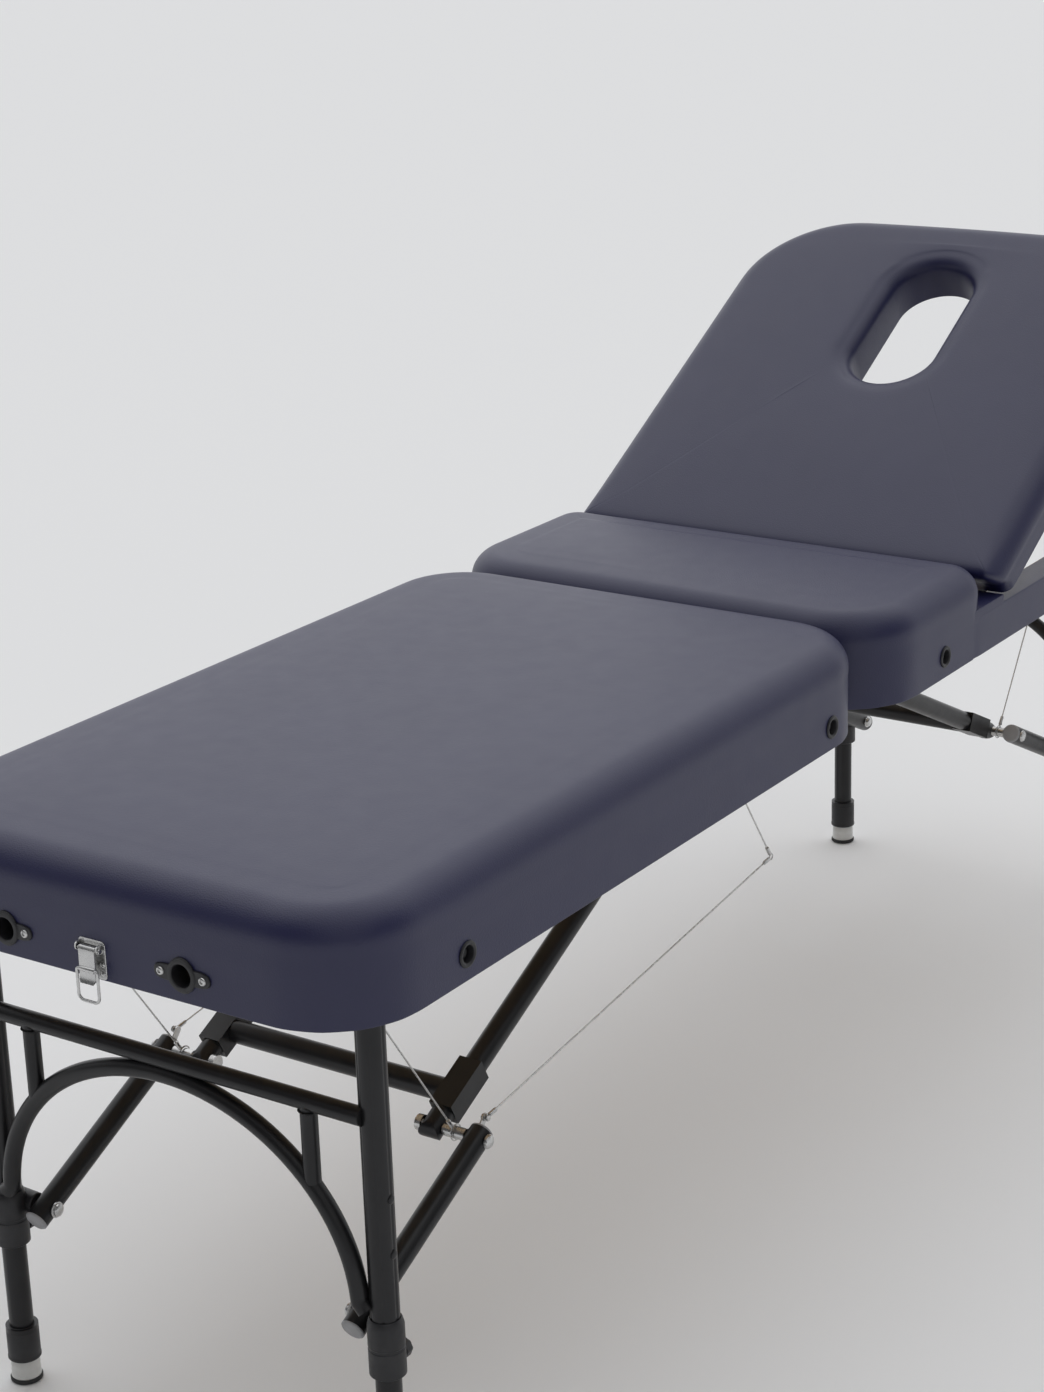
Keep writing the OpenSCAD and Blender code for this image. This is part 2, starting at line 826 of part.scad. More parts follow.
module backrest_foam() {
  color(foam_colour) raised() difference() {
    cushion_solid(skin, deck_top + 0.1, nose_angle - 1);
    hinge_relief();
    face_hole(vinyl_thickness + fit_gap, rail_top - over, pad_top + over);
  }
}

module backrest_cover() {
  color(navy) raised() difference() {
    union() {
      difference() {
        cushion_solid(0, board_z, nose_angle);
        cushion_solid(vinyl_thickness, board_z - over, nose_angle - 1);
      }
      face_hole(vinyl_thickness, board_z, pad_top - 0.5);
    }
    face_hole(0, board_z - over, pad_top + over);
    hinge_relief();
  }
}

// Leaves of the backrest hinges and the lugs of the prop, all screwed under the board
module backrest_hinge_leaves() {
  lug_x = backrest_hinge_x + prop_length;
  lug_z = hinge_z - prop_pivot_drop;
  color(steel) raised() both_sides() {
    difference() {
      union() {
        y_rod(backrest_hinge_x, hinge_z, knuckle_d, hinge_y - board_knuckle_w / 2,
              hinge_y + board_knuckle_w / 2);
        translate([backrest_hinge_x, hinge_y - board_knuckle_w / 2, board_z - 2])
          cube([knuckle_d / 2, board_knuckle_w, hinge_z - board_z + 2]);
        translate([backrest_hinge_x, hinge_y - board_leaf_w / 2, board_z - 2])
          cube([board_leaf_l, board_leaf_w, board_leaf_t]);
      }
      y_rod(backrest_hinge_x, hinge_z, hinge_pin_d + 0.1, 0, half_width);
    }
    translate([lug_x - lug_w / 2, prop_y - 12, lug_z - 7])
      cube([lug_w, lug_t, board_z - lug_z + 6.9]);
    y_rod(lug_x, lug_z, prop_pin_d, prop_y - 8, prop_y + 6);
  }
}

module backrest_hinge_bases() {
  color(steel) both_sides() {
    y_rod(backrest_hinge_x, hinge_z, hinge_pin_d, hinge_y - deck_leaf_w / 2, hinge_y + deck_leaf_w / 2);
    for (y = [hinge_y - deck_leaf_w / 2, hinge_y + deck_leaf_w / 2 - deck_knuckle_w]) {
      y_rod(backrest_hinge_x, hinge_z, knuckle_d, y, y + deck_knuckle_w);
      translate([fixed_deck_end - 4, y, deck_top + 0.1])
        cube([backrest_hinge_x - fixed_deck_end + 3, deck_knuckle_w, deck_leaf_t]);
    }
    translate([fixed_deck_end - 34, hinge_y - deck_leaf_w / 2, deck_top + 0.1])
      cube([deck_leaf_l, deck_leaf_w, deck_leaf_t]);
  }
}

// ---------- backrest prop and its racks ----------

// Children drawn from the prop's pivot along +X, and leaned down to the racks
module leaning_prop() {
  raised() translate([backrest_hinge_x + prop_length, 0, hinge_z - prop_pivot_drop])
    rotate([0, 2 * backrest_angle, 0]) children();
}

module prop_arms() {
  color(steel) leaning_prop() both_sides() difference() {
    union() {
      x_rod(prop_y, 0, prop_d, 5, prop_length - prop_d / 2 - 0.2);
      y_rod(0, 0, prop_boss_d, prop_y - 6, prop_y + 6);
    }
    y_rod(0, 0, prop_pin_d + 0.1, prop_y - 10, prop_y + 10);
  }
}

module prop_bar() {
  color(steel) leaning_prop() y_rod(prop_length, 0, prop_d, -260, 260);
}

// Height of the rack at a distance x, just under the path of the prop's bar
function rack_top(x) = 588.2 + (rack_end - x) * 0.031;

module prop_racks() {
  notches = floor((rack_end - rack_start - 12) / rack_pitch);
  depth = 9;
  outline = concat(
    [[rack_start, frame_bottom + 4], [rack_start, rack_top(rack_start)]],
    [for (i = [0 : notches - 1])
      let (x = rack_start + 10 + i * rack_pitch)
      each [[x, rack_top(x)], [x + 11, rack_top(x) - depth], [x + 13, rack_top(x)]]],
    [[rack_end, rack_top(rack_end)], [rack_end, frame_bottom + 4]]);
  color(steel) both_sides()
    translate([0, rail_inner_y - 0.2, 0]) rotate([90, 0, 0])
      linear_extrude(rail_inner_y - 0.2 - rack_in_y) polygon(outline);
}

// ---------- stay cables ----------

module stay(points) {
  both_sides() for (i = [0 : len(points) - 2]) wire(points[i], points[i + 1], cable_d);
}

module foot_cables() {
  color(steel) {
    stay(foot_stay_outer);
    stay(foot_stay_inner);
    both_sides() translate(foot_stay_inner[1]) sphere(d = 2 * cable_d);
  }
}

module head_cables() {
  color(steel) stay(head_stay_outer);
}

// ---------- the two leg frames ----------

foot_strut_y = foot_leg_y - 67;
head_strut_y = head_leg_y - 55;

module foot_outer_legs() { color(charcoal) foot_half() outer_legs(foot_leg_y); }
module foot_cross_bar() { color(charcoal) foot_half() cross_bar(foot_leg_y); }
module foot_arch() { color(charcoal) foot_half() arch(foot_leg_y, foot_strut_y); }
module foot_leg_brackets() { color(charcoal) foot_half() leg_brackets(foot_leg_y, foot_lower_y); }
module foot_lower_links() { color(charcoal) foot_half() lower_links(foot_lower_y); }
module foot_upper_links() { color(charcoal) foot_half() upper_links(foot_upper_y); }
module foot_link_cross_tube() { color(charcoal) foot_half() link_cross_tube(foot_upper_y); }
module foot_knee_bolts() { color(steel) foot_half() knee_bolts(foot_lower_y, foot_upper_y); }

module head_outer_legs() { color(charcoal) outer_legs(head_leg_y); }
module head_cross_bar() { color(charcoal) cross_bar(head_leg_y); }
module head_arch() { color(charcoal) arch(head_leg_y, head_strut_y); }
module head_leg_brackets() { color(charcoal) leg_brackets(head_leg_y, head_lower_y); }
module head_lower_links() { color(charcoal) lower_links(head_lower_y); }
module head_upper_links() { color(charcoal) upper_links(head_upper_y); }
module head_link_cross_tube() { color(charcoal) link_cross_tube(head_upper_y); }
module head_knee_bolts() { color(steel) knee_bolts(head_lower_y, head_upper_y); }

module foot_left_inner_leg() { color(charcoal) foot_half() inner_leg(foot_leg_y); }
module foot_right_inner_leg() { color(charcoal) foot_half() inner_leg(-foot_leg_y); }
module head_left_inner_leg() { color(charcoal) inner_leg(head_leg_y); }
module head_right_inner_leg() { color(charcoal) inner_leg(-head_leg_y); }

module foot_left_tip() { color(pale_plastic) foot_half() tip(foot_leg_y); }
module foot_right_tip() { color(pale_plastic) foot_half() tip(-foot_leg_y); }
module head_left_tip() { color(pale_plastic) tip(head_leg_y); }
module head_right_tip() { color(pale_plastic) tip(-head_leg_y); }

module foot_left_knob() { color(black_plastic) foot_half() leg_knob(foot_leg_y); }
module foot_right_knob() { color(black_plastic) foot_half() leg_knob(-foot_leg_y); }
module head_left_knob() { color(black_plastic) leg_knob(head_leg_y); }
module head_right_knob() { color(black_plastic) leg_knob(-head_leg_y); }

foot_side_rails();
foot_cross_rails();
foot_deck();
foot_foam();
foot_cover();
foot_pivot_rods();
foot_side_plugs();
face_cradle_sockets();
socket_screws();
latch_plate();
latch_lever();
latch_bail();
foot_centre_hinges();
foot_cables();
head_side_rails();
head_cross_rails();
head_deck();
head_foam();
head_cover();
head_pivot_rods();
head_side_plugs();
latch_keeper();
head_centre_hinges();
head_cables();
prop_racks();
backrest_hinge_bases();
backrest_board();
backrest_foam();
backrest_cover();
backrest_hinge_leaves();
prop_arms();
prop_bar();
foot_outer_legs();
foot_cross_bar();
foot_arch();
foot_leg_brackets();
foot_lower_links();
foot_upper_links();
foot_link_cross_tube();
foot_knee_bolts();
head_outer_legs();
head_cross_bar();
head_arch();
head_leg_brackets();
head_lower_links();
head_upper_links();
head_link_cross_tube();
head_knee_bolts();
foot_left_inner_leg();
foot_right_inner_leg();
head_left_inner_leg();
head_right_inner_leg();
foot_left_tip();
foot_right_tip();
head_left_tip();
head_right_tip();
foot_left_knob();
foot_right_knob();
head_left_knob();
head_right_knob();
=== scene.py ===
import json
import math

import bmesh
import bpy
import numpy as np
from mathutils import Matrix, Vector


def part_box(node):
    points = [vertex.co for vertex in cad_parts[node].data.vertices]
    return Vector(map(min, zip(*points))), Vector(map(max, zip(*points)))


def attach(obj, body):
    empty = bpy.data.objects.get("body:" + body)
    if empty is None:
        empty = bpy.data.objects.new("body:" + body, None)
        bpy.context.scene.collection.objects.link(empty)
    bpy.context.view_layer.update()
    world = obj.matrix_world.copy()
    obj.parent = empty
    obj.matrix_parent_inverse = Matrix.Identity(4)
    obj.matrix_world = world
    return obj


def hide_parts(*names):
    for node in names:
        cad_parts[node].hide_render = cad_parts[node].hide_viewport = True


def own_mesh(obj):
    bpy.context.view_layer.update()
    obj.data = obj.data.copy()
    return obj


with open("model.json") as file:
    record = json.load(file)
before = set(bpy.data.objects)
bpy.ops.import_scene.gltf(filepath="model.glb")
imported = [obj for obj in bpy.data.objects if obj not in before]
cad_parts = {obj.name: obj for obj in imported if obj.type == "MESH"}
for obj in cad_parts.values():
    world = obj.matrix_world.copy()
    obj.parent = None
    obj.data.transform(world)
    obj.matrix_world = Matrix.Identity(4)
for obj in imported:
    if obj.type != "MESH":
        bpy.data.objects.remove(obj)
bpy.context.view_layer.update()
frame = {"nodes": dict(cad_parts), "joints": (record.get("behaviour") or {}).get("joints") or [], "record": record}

MM = 0.001
JOINTS = {j["name"]: j for j in frame["joints"]}
BACKREST_REST_DEG = 29.5
CAMERA_PLACE = (-2.694, -1.662, 1.608)
CAMERA_YAW_PITCH_ROLL_DEG = (34.44, 18.74, -1.93)
CAMERA_LENS = 72.77
PAD_CORNER = 95
PAD_EDGE_RADIUS = 34
SIDE_RING_HEIGHTS = (558, 569, 580, 591, 601, 610, 619)
VINYL_SKIN = 1.2
SKIRT_STOP = 40          # the fixed pad's skirt ends this far before the pad does
SMOOTH_EDGE_DEG = 60
CRIMP = [(1.6, 0.9), (1.6, 2.0), (2.6, 2.3), (13, 2.3), (14, 2.0), (14, 0.9)]
RIVET_HEAD = [(0, 2.6), (0.5, 2.5), (1.0, 1.7), (1.1, 0.1)]
HALVES = (("foot", -1), ("head", 1))
SIDES = (("left", 1), ("right", -1))


# ---------- places, in millimetres, read from the frame ----------

def box_mm(node):
    low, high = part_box(node)
    return low / MM, high / MM


def middle_mm(node):
    low, high = box_mm(node)
    return (low + high) / 2


def joint_mm(name):
    return Vector(JOINTS[name]["pos_m"]) / MM


# ---------- camera, light and floor ----------

def new_object(name, data):
    made = bpy.data.objects.new(name, data)
    bpy.context.scene.collection.objects.link(made)
    return made


def add_node(tree, kind, **values):
    """Shader node with values on its inputs; an output socket given as a value is linked."""
    node = tree.nodes.new(f"ShaderNode{kind}")
    for name, value in values.items():
        socket = node.inputs[name.replace("_", " ")]
        if isinstance(value, bpy.types.NodeSocket):
            tree.links.new(value, socket)
        else:
            socket.default_value = value
    return node


def make_camera():
    yaw, pitch, roll = (math.radians(angle) for angle in CAMERA_YAW_PITCH_ROLL_DEG)
    ahead = Vector((math.cos(yaw) * math.cos(pitch), math.sin(yaw) * math.cos(pitch), -math.sin(pitch)))
    level = Vector((math.sin(yaw), -math.cos(yaw), 0))
    above = level.cross(ahead)
    right = level * math.cos(roll) + above * math.sin(roll)
    up = above * math.cos(roll) - level * math.sin(roll)
    data = bpy.data.cameras.new("camera")
    data.lens = CAMERA_LENS
    data.sensor_width = 36
    data.clip_end = 200
    camera = new_object("camera", data)
    turn = Matrix((right, up, -ahead)).transposed().to_4x4()
    camera.matrix_world = Matrix.Translation(CAMERA_PLACE) @ turn
    bpy.context.scene.camera = camera


def soft_sun(name, towards, spread_deg, strength):
    """Even light from far away, along the given direction."""
    data = bpy.data.lights.new(name, "SUN")
    data.angle = math.radians(spread_deg)
    data.energy = strength
    light = new_object(name, data)
    light.rotation_euler = Vector(towards).to_track_quat("-Z", "Y").to_euler()


def studio_walls(tree, background):
    """A bright wall far behind the table and overhead, darker behind the camera."""
    source = add_node(tree, "TexCoord")
    dot = add_node(tree, "VectorMath", Vector=source.outputs["Generated"])
    dot.operation = "DOT_PRODUCT"
    dot.inputs[1].default_value = (0.62, 0.38, 0.52)
    ramp = add_node(tree, "MapRange", Value=dot.outputs["Value"],
                    From_Min=-0.15, From_Max=0.90, To_Min=0.10, To_Max=1.12)
    ramp.interpolation_type = "SMOOTHSTEP"
    tree.links.new(ramp.outputs["Result"], background.inputs["Strength"])


def make_studio():
    world = bpy.data.worlds.new("studio")
    world.use_nodes = True
    background = world.node_tree.nodes["Background"]
    background.inputs["Color"].default_value = (0.94, 0.95, 0.97, 1)
    studio_walls(world.node_tree, background)
    bpy.context.scene.world = world
    bpy.context.scene.view_settings.view_transform = "Standard"
    soft_sun("key_light", (-0.15, -0.10, -1.0), 90, 0.50)
    soft_sun("side_light", (0.55, 0.75, -0.75), 60, 0.30)
    reach = 60
    floor_mesh = bpy.data.meshes.new("floor")
    corners = [(-reach, -reach, 0), (reach, -reach, 0), (reach, reach, 0), (-reach, reach, 0)]
    floor_mesh.from_pydata(corners, [], [(0, 1, 2, 3)])
    floor = new_object("floor", floor_mesh)
    material, _, shader = new_material("floor_paper", 0.95, specular=0.1)
    shader.inputs["Base Color"].default_value = (0.90, 0.90, 0.90, 1)
    floor_mesh.materials.append(material)


# ---------- materials ----------

def new_material(name, roughness, metallic=0.0, specular=0.5):
    material = bpy.data.materials.new(name)
    material.use_nodes = True
    shader = material.node_tree.nodes["Principled BSDF"]
    shader.inputs["Roughness"].default_value = roughness
    shader.inputs["Metallic"].default_value = metallic
    shader.inputs["Specular IOR Level"].default_value = specular
    return material, material.node_tree, shader


def coordinates(tree, stretch=(1, 1, 1), turn=(0, 0, 0)):
    source = add_node(tree, "TexCoord")
    mapping = add_node(tree, "Mapping", Vector=source.outputs["Object"], Rotation=turn, Scale=stretch)
    return mapping.outputs["Vector"]


def noise(tree, vector, scale, detail=3.0):
    return add_node(tree, "TexNoise", Vector=vector, Scale=scale, Detail=detail).outputs["Fac"]


def cells(tree, vector, scale):
    return add_node(tree, "TexVoronoi", Vector=vector, Scale=scale).outputs["Distance"]


def colours(tree, shader, fac, stops):
    """Base colour from a value, through (position, colour) stops."""
    node = add_node(tree, "ValToRGB", Fac=fac)
    for _ in stops[2:]:
        node.color_ramp.elements.new(0.5)
    for element, (position, colour) in zip(node.color_ramp.elements, stops):
        element.position = position
        element.color = (*colour, 1)
    tree.links.new(node.outputs["Color"], shader.inputs["Base Color"])


def spread(tree, fac, socket, low, high):
    """Noise, which lies mostly within 0.3 to 0.7, stretched over a range."""
    node = add_node(tree, "MapRange", Value=fac, From_Min=0.3, From_Max=0.7, To_Min=low, To_Max=high)
    tree.links.new(node.outputs["Result"], socket)


def bumps(tree, shader, layers):
    """Stacked bump nodes from (height, depth in metres, strength) layers."""
    below = None
    for height, depth, strength in layers:
        node = add_node(tree, "Bump", Height=height, Distance=depth, Strength=strength)
        if below:
            tree.links.new(below, node.inputs["Normal"])
        below = node.outputs["Normal"]
    tree.links.new(below, shader.inputs["Normal"])


def make_vinyl():
    material, tree, shader = new_material("navy_vinyl", 0.42, specular=0.56)
    vector = coordinates(tree)
    colours(tree, shader, noise(tree, vector, 9, 4), [
        (0.30, (0.0139, 0.0145, 0.060)), (0.70, (0.0151, 0.0160, 0.064))])
    spread(tree, noise(tree, vector, 38, 5), shader.inputs["Roughness"], 0.405, 0.435)
    bumps(tree, shader, [
        (noise(tree, vector, 11, 2), 0.0012, 0.02),
        (cells(tree, vector, 620), 0.00022, 0.55),
        (noise(tree, vector, 1500, 2), 0.00008, 0.5)])
    return material


def make_black_tube():
    material, tree, shader = new_material("black_tube", 0.34, metallic=0.35)
    vector = coordinates(tree)
    colours(tree, shader, noise(tree, vector, 30, 6), [
        (0.3, (0.0145, 0.0145, 0.016)), (0.7, (0.020, 0.020, 0.0215))])
    spread(tree, noise(tree, vector, 90, 5), shader.inputs["Roughness"], 0.31, 0.38)
    bumps(tree, shader, [(noise(tree, vector, 1300, 2), 0.00006, 0.5)])
    return material


def make_steel():
    material, tree, shader = new_material("nickel_steel", 0.28, metallic=1.0)
    vector = coordinates(tree)
    colours(tree, shader, noise(tree, vector, 60, 5), [
        (0.3, (0.55, 0.55, 0.55)), (0.7, (0.62, 0.62, 0.61))])
    spread(tree, noise(tree, vector, 140, 4), shader.inputs["Roughness"], 0.25, 0.30)
    bumps(tree, shader, [(noise(tree, vector, 700, 3), 0.00003, 0.18)])
    return material


def make_plastic(name, dark, light, roughness=0.45):
    material, tree, shader = new_material(name, roughness)
    vector = coordinates(tree)
    colours(tree, shader, noise(tree, vector, 45, 4), [(0.3, dark), (0.7, light)])
    spread(tree, noise(tree, vector, 160, 4), shader.inputs["Roughness"],
           roughness - 0.08, roughness + 0.08)
    bumps(tree, shader, [(noise(tree, vector, 1800, 2), 0.00007, 0.5)])
    return material


def make_timber(name, stretch):
    material, tree, shader = new_material(name, 0.5, specular=0.4)
    vector = coordinates(tree, stretch)
    grain = noise(tree, vector, 22, 7)
    colours(tree, shader, grain, [
        (0.28, (0.30, 0.185, 0.095)), (0.5, (0.47, 0.32, 0.18)), (0.72, (0.60, 0.44, 0.27))])
    spread(tree, grain, shader.inputs["Roughness"], 0.42, 0.6)
    bumps(tree, shader, [(noise(tree, vector, 60, 5), 0.0003, 0.5)])
    return material


def make_plywood(name, tilt=0.0):
    """Birch plywood: long grain on the faces and thin dark glue lines on the edges."""
    material, tree, shader = new_material(name, 0.55, specular=0.35)
    flat = coordinates(tree, turn=(0, tilt, 0))
    grain = noise(tree, coordinates(tree, (1.0, 9.0, 9.0), (0, tilt, 0)), 16, 7)
    ply = 0.0009
    split = add_node(tree, "SeparateXYZ", Vector=flat)
    plies = add_node(tree, "Math", Value=split.outputs["Z"])
    plies.operation = "PINGPONG"
    plies.inputs[1].default_value = ply
    glue = add_node(tree, "MapRange", Value=plies.outputs["Value"],
                    From_Max=ply, To_Min=-0.10, To_Max=0.08)
    mixed = add_node(tree, "Math")
    tree.links.new(grain, mixed.inputs[0])
    tree.links.new(glue.outputs["Result"], mixed.inputs[1])
    colours(tree, shader, mixed.outputs["Value"], [
        (0.25, (0.40, 0.27, 0.155)), (0.5, (0.58, 0.43, 0.27)), (0.75, (0.70, 0.55, 0.38))])
    spread(tree, grain, shader.inputs["Roughness"], 0.48, 0.64)
    bumps(tree, shader, [(grain, 0.0003, 0.4)])
    return material


make_camera()
make_studio()
VINYL = make_vinyl()
TUBE = make_black_tube()
STEEL = make_steel()
BLACK = make_plastic("black_plastic", (0.012, 0.012, 0.014), (0.022, 0.022, 0.025))
# grey used only on the link end caps: painted highlight on caps that are black plastic
END_CAP_PAINTED_HIGHLIGHT = make_plastic("end_cap_painted_highlight", (0.30, 0.30, 0.31), (0.38, 0.38, 0.39), 0.5)
PALE = make_plastic("pale_plastic", (0.66, 0.66, 0.64), (0.76, 0.76, 0.74), 0.55)
# near-black material of the disc under each foot: painted shadow beneath the foot, not a rubber part
FOOT_SHADOW_BLACK = make_plastic("painted_foot_shadow", (0.020, 0.020, 0.021), (0.035, 0.035, 0.036), 0.7)
TIMBER_LONG = make_timber("timber_along", (1.0, 9.0, 9.0))
TIMBER_CROSS = make_timber("timber_across", (9.0, 1.0, 9.0))
PLYWOOD = make_plywood("plywood")
PLYWOOD_BACKREST = make_plywood("plywood_backrest", math.radians(BACKREST_REST_DEG))


# ---------- shapes, drawn in millimetres ----------

def frame_along(axis):
    """Two unit vectors square to the axis."""
    axis = Vector(axis).normalized()
    side = Vector((0, 0, 1)) if abs(axis.z) < 0.9 else Vector((1, 0, 0))
    first = side.cross(axis).normalized()
    return first, axis.cross(first)


def turns(count):
    """Angles of evenly spaced points round a circle."""
    return [2 * math.pi * k / count for k in range(count)]


def band_faces(spans, rings, columns):
    """Quads between rings of points that follow each other, round the ring."""
    faces = []
    for i in spans:
        a, b = i * columns, (i + 1) % rings * columns
        faces += [(a + k, a + (k + 1) % columns, b + (k + 1) % columns, b + k) for k in range(columns)]
    return faces


def edit_mesh(mesh, change):
    """Runs one change on the mesh in its editable form."""
    work = bmesh.new()
    work.from_mesh(mesh)
    change(work)
    work.to_mesh(mesh)
    work.free()


def smooth_shading(mesh, sharp_deg):
    mesh.polygons.foreach_set("use_smooth", [True] * len(mesh.polygons))
    mesh.set_sharp_from_angle(angle=math.radians(sharp_deg))


class Shape:
    """Vertices and faces of one piece, added part by part."""

    def __init__(self):
        self.verts = []
        self.faces = []

    def add(self, verts, faces):
        start = len(self.verts)
        self.verts += [Vector(v) for v in verts]
        self.faces += [[start + i for i in face] for face in faces]

    def rings(self, rings, cap_start=True, cap_end=True, closed=False):
        """Rings of equal length joined in order, with n-gon ends."""
        count = len(rings[0])
        verts = [v for ring in rings for v in ring]
        spans = len(rings) if closed else len(rings) - 1
        faces = band_faces(range(spans), len(rings), count)
        if cap_start and not closed:
            faces.append(tuple(reversed(range(count))))
        if cap_end and not closed:
            faces.append(tuple(range(len(verts) - count, len(verts))))
        self.add(verts, faces)

    def lathe(self, origin, axis, profile, sides=40, caps=True, lobes=None):
        """Profile of (distance along the axis, radius) pairs turned about the axis."""
        origin, along = Vector(origin), Vector(axis).normalized()
        first, second = frame_along(axis)
        rings = []
        for place, radius in profile:
            ring = []
            for angle in turns(sides):
                r = radius * (lobes(angle) if lobes and radius > 4 else 1)
                out = first * r * math.cos(angle)
                ring.append(origin + along * place + out + second * r * math.sin(angle))
            rings.append(ring)
        self.rings(rings, caps, caps)

    def tube(self, points, radius, sides=12, closed=False):
        """Round tube through points, with flat ends."""
        points = [Vector(p) for p in points]
        rings, up = [], None
        for i, point in enumerate(points):
            before = points[i - 1] if i or closed else point
            inside = i + 1 < len(points) or closed
            after = points[(i + 1) % len(points)] if inside else point
            tangent = (after - before).normalized()
            if up is None:
                up, _ = frame_along(tangent)
            up = (up - tangent * up.dot(tangent)).normalized()
            side = tangent.cross(up)
            rings.append([point + radius * (up * math.cos(angle) + side * math.sin(angle))
                          for angle in turns(sides)])
        self.rings(rings, closed=closed)

    def prism(self, outline, thickness, place, chamfer=0.5):
        """Outline extruded along the Z of the given matrix, with chamfered edges."""
        inner = offset_outline(outline, -chamfer)
        rings = []
        shoulder = thickness - chamfer
        for loop, z in ((inner, 0), (outline, chamfer), (outline, shoulder), (inner, thickness)):
            rings.append([place @ Vector((x, y, z)) for x, y in loop])
        self.rings(rings)

    def build(self, name, material, body, slot, replaces=(), sharp_deg=32):
        mesh = bpy.data.meshes.new(name)
        mesh.from_pydata([v * MM for v in self.verts], [], self.faces)
        edit_mesh(mesh, lambda work: bmesh.ops.recalc_face_normals(work, faces=work.faces))
        smooth_shading(mesh, sharp_deg)
        mesh.materials.append(material)
        piece = new_object(name, mesh)
        if replaces:
            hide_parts(*replaces)
        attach(piece, body)
        return piece


def offset_outline(outline, distance):
    """Outline moved outwards by the distance; the outline runs anticlockwise."""
    moved = []
    for i, point in enumerate(outline):
        before = Vector(point) - Vector(outline[i - 1])
        after = Vector(outline[(i + 1) % len(outline)]) - Vector(point)
        normal = Vector((before.y, -before.x)).normalized() + Vector((after.y, -after.x)).normalized()
        if normal.length < 1e-6:
            normal = Vector((before.y, -before.x))
        normal.normalize()
        lean = max(0.5, normal.dot(Vector((after.y, -after.x)).normalized()))
        moved.append(tuple(Vector(point) + normal * distance / lean))
    return moved


def round_rect(width, height, radius, steps=5):
    """Rounded rectangle about the origin, anticlockwise."""
    points = []
    for quarter, (sx, sy) in enumerate(((1, 1), (-1, 1), (-1, -1), (1, -1))):
        for k in range(steps + 1):
            angle = math.pi / 2 * (quarter + k / steps)
            points.append((sx * (width / 2 - radius) + radius * math.cos(angle),
                           sy * (height / 2 - radius) + radius * math.sin(angle)))
    return points


def plane_at(origin, x_axis, y_axis):
    """Matrix whose XY plane lies on the two axes, at the origin."""
    x_axis, y_axis = Vector(x_axis).normalized(), Vector(y_axis).normalized()
    turn = Matrix((x_axis, y_axis, x_axis.cross(y_axis))).transposed().to_4x4()
    return Matrix.Translation(Vector(origin)) @ turn


# ---------- soft pads ----------

def pad_plan(x0, x1, half_width, r0, r1, inset, counts):
    """Points round a rectangle drawn in by the inset, from the middle of the corner at x0 and -Y.

    counts is (straights along X, straight at x0, straight at x1, arc at x0, arc at x1)."""
    along, low, high, arc0, arc1 = counts
    smallest = 3.0
    r0, r1 = max(r0 - inset, smallest), max(r1 - inset, smallest)
    x0, x1, w = x0 + inset, x1 - inset, half_width - inset

    def arc(cx, cy, r, start, sweep, steps):
        return [(cx + r * math.cos(math.radians(start + sweep * k / steps)),
                 cy + r * math.sin(math.radians(start + sweep * k / steps))) for k in range(steps)]

    def line(a, b, steps):
        return [(a[0] + (b[0] - a[0]) * k / steps, a[1] + (b[1] - a[1]) * k / steps)
                for k in range(steps)]

    points = arc(x0 + r0, -w + r0, r0, 225, 45, arc0 // 2)
    points += line((x0 + r0, -w), (x1 - r1, -w), along)
    points += arc(x1 - r1, -w + r1, r1, 270, 90, arc1)
    points += line((x1, -w + r1), (x1, w - r1), high)
    points += arc(x1 - r1, w - r1, r1, 0, 90, arc1)
    points += line((x1 - r1, w), (x0 + r0, w), along)
    points += arc(x0 + r0, w - r0, r0, 90, 90, arc0)
    points += line((x0, w - r0), (x0, -w + r0), low)
    points += arc(x0 + r0, -w + r0, r0, 180, 45, arc0 // 2)
    return np.array(points)


def edge_profile(bottom, top, side_z, radius, hem, sag=0.35):
    """(inset, height) pairs from the hem under the frame, up the side and over the top edge.

    The vinyl hangs below the bottom by at most the sag."""
    rings = [(inset, bottom - sag * share) for inset, share in (
        (hem, 0.3), (hem * 0.6, 0.3), (hem * 0.25, 0.3), (2.6, 0.6), (0.9, 1.0), (0.0, 0.85))]
    rings += [(-0.35, bottom + 0.4), (-0.35, bottom + 2.2)]
    rings += [(-0.3, z) for z in side_z]
    centre = top - radius
    for k in range(9):
        angle = math.pi / 2 * k / 8
        rings.append((radius - 1.2 - radius * math.cos(angle), centre + radius * math.sin(angle)))
    rings += [(radius + 10, top + 0.3), (radius + 22, top + 0.6)]
    return rings


def coons(loop, first, second):
    """Grid that fills a closed loop, whose corners lie at 0, first, first+second and 2*first+second."""
    loop = np.asarray(loop)
    a = loop[:first + 1]
    right = loop[first:first + second + 1]
    top = loop[first + second:2 * first + second + 1][::-1]
    left = np.concatenate([loop[2 * first + second:], loop[:1]])[::-1]
    grid = np.zeros((first + 1, second + 1, 2))
    for i in range(first + 1):
        u = i / first
        for j in range(second + 1):
            v = j / second
            grid[i, j] = ((1 - v) * a[i] + v * top[i] + (1 - u) * left[j] + u * right[j]
                          - (1 - u) * (1 - v) * a[0] - u * (1 - v) * a[-1]
                          - u * v * top[-1] - (1 - u) * v * top[0])
    return grid


def crown(x, y, plan, height, reach=75.0):
    """Rise of the stuffed top at a distance from its edges."""
    x0, x1, half_width = plan
    blend, rim, softness = 28.0, 18, 25
    near = sum(math.exp(-gap / blend) for gap in (x - x0, x1 - x, half_width - y, half_width + y))
    inside = max(0.0, -blend * math.log(near) - rim)
    return height * (1 - math.exp(-inside * inside / (reach * (inside + softness))))


def soft_object(name, verts, faces):
    mesh = bpy.data.meshes.new(name)
    mesh.from_pydata([Vector(v) * MM for v in verts], [], faces)
    mesh.materials.append(VINYL)
    return new_object(name, mesh)


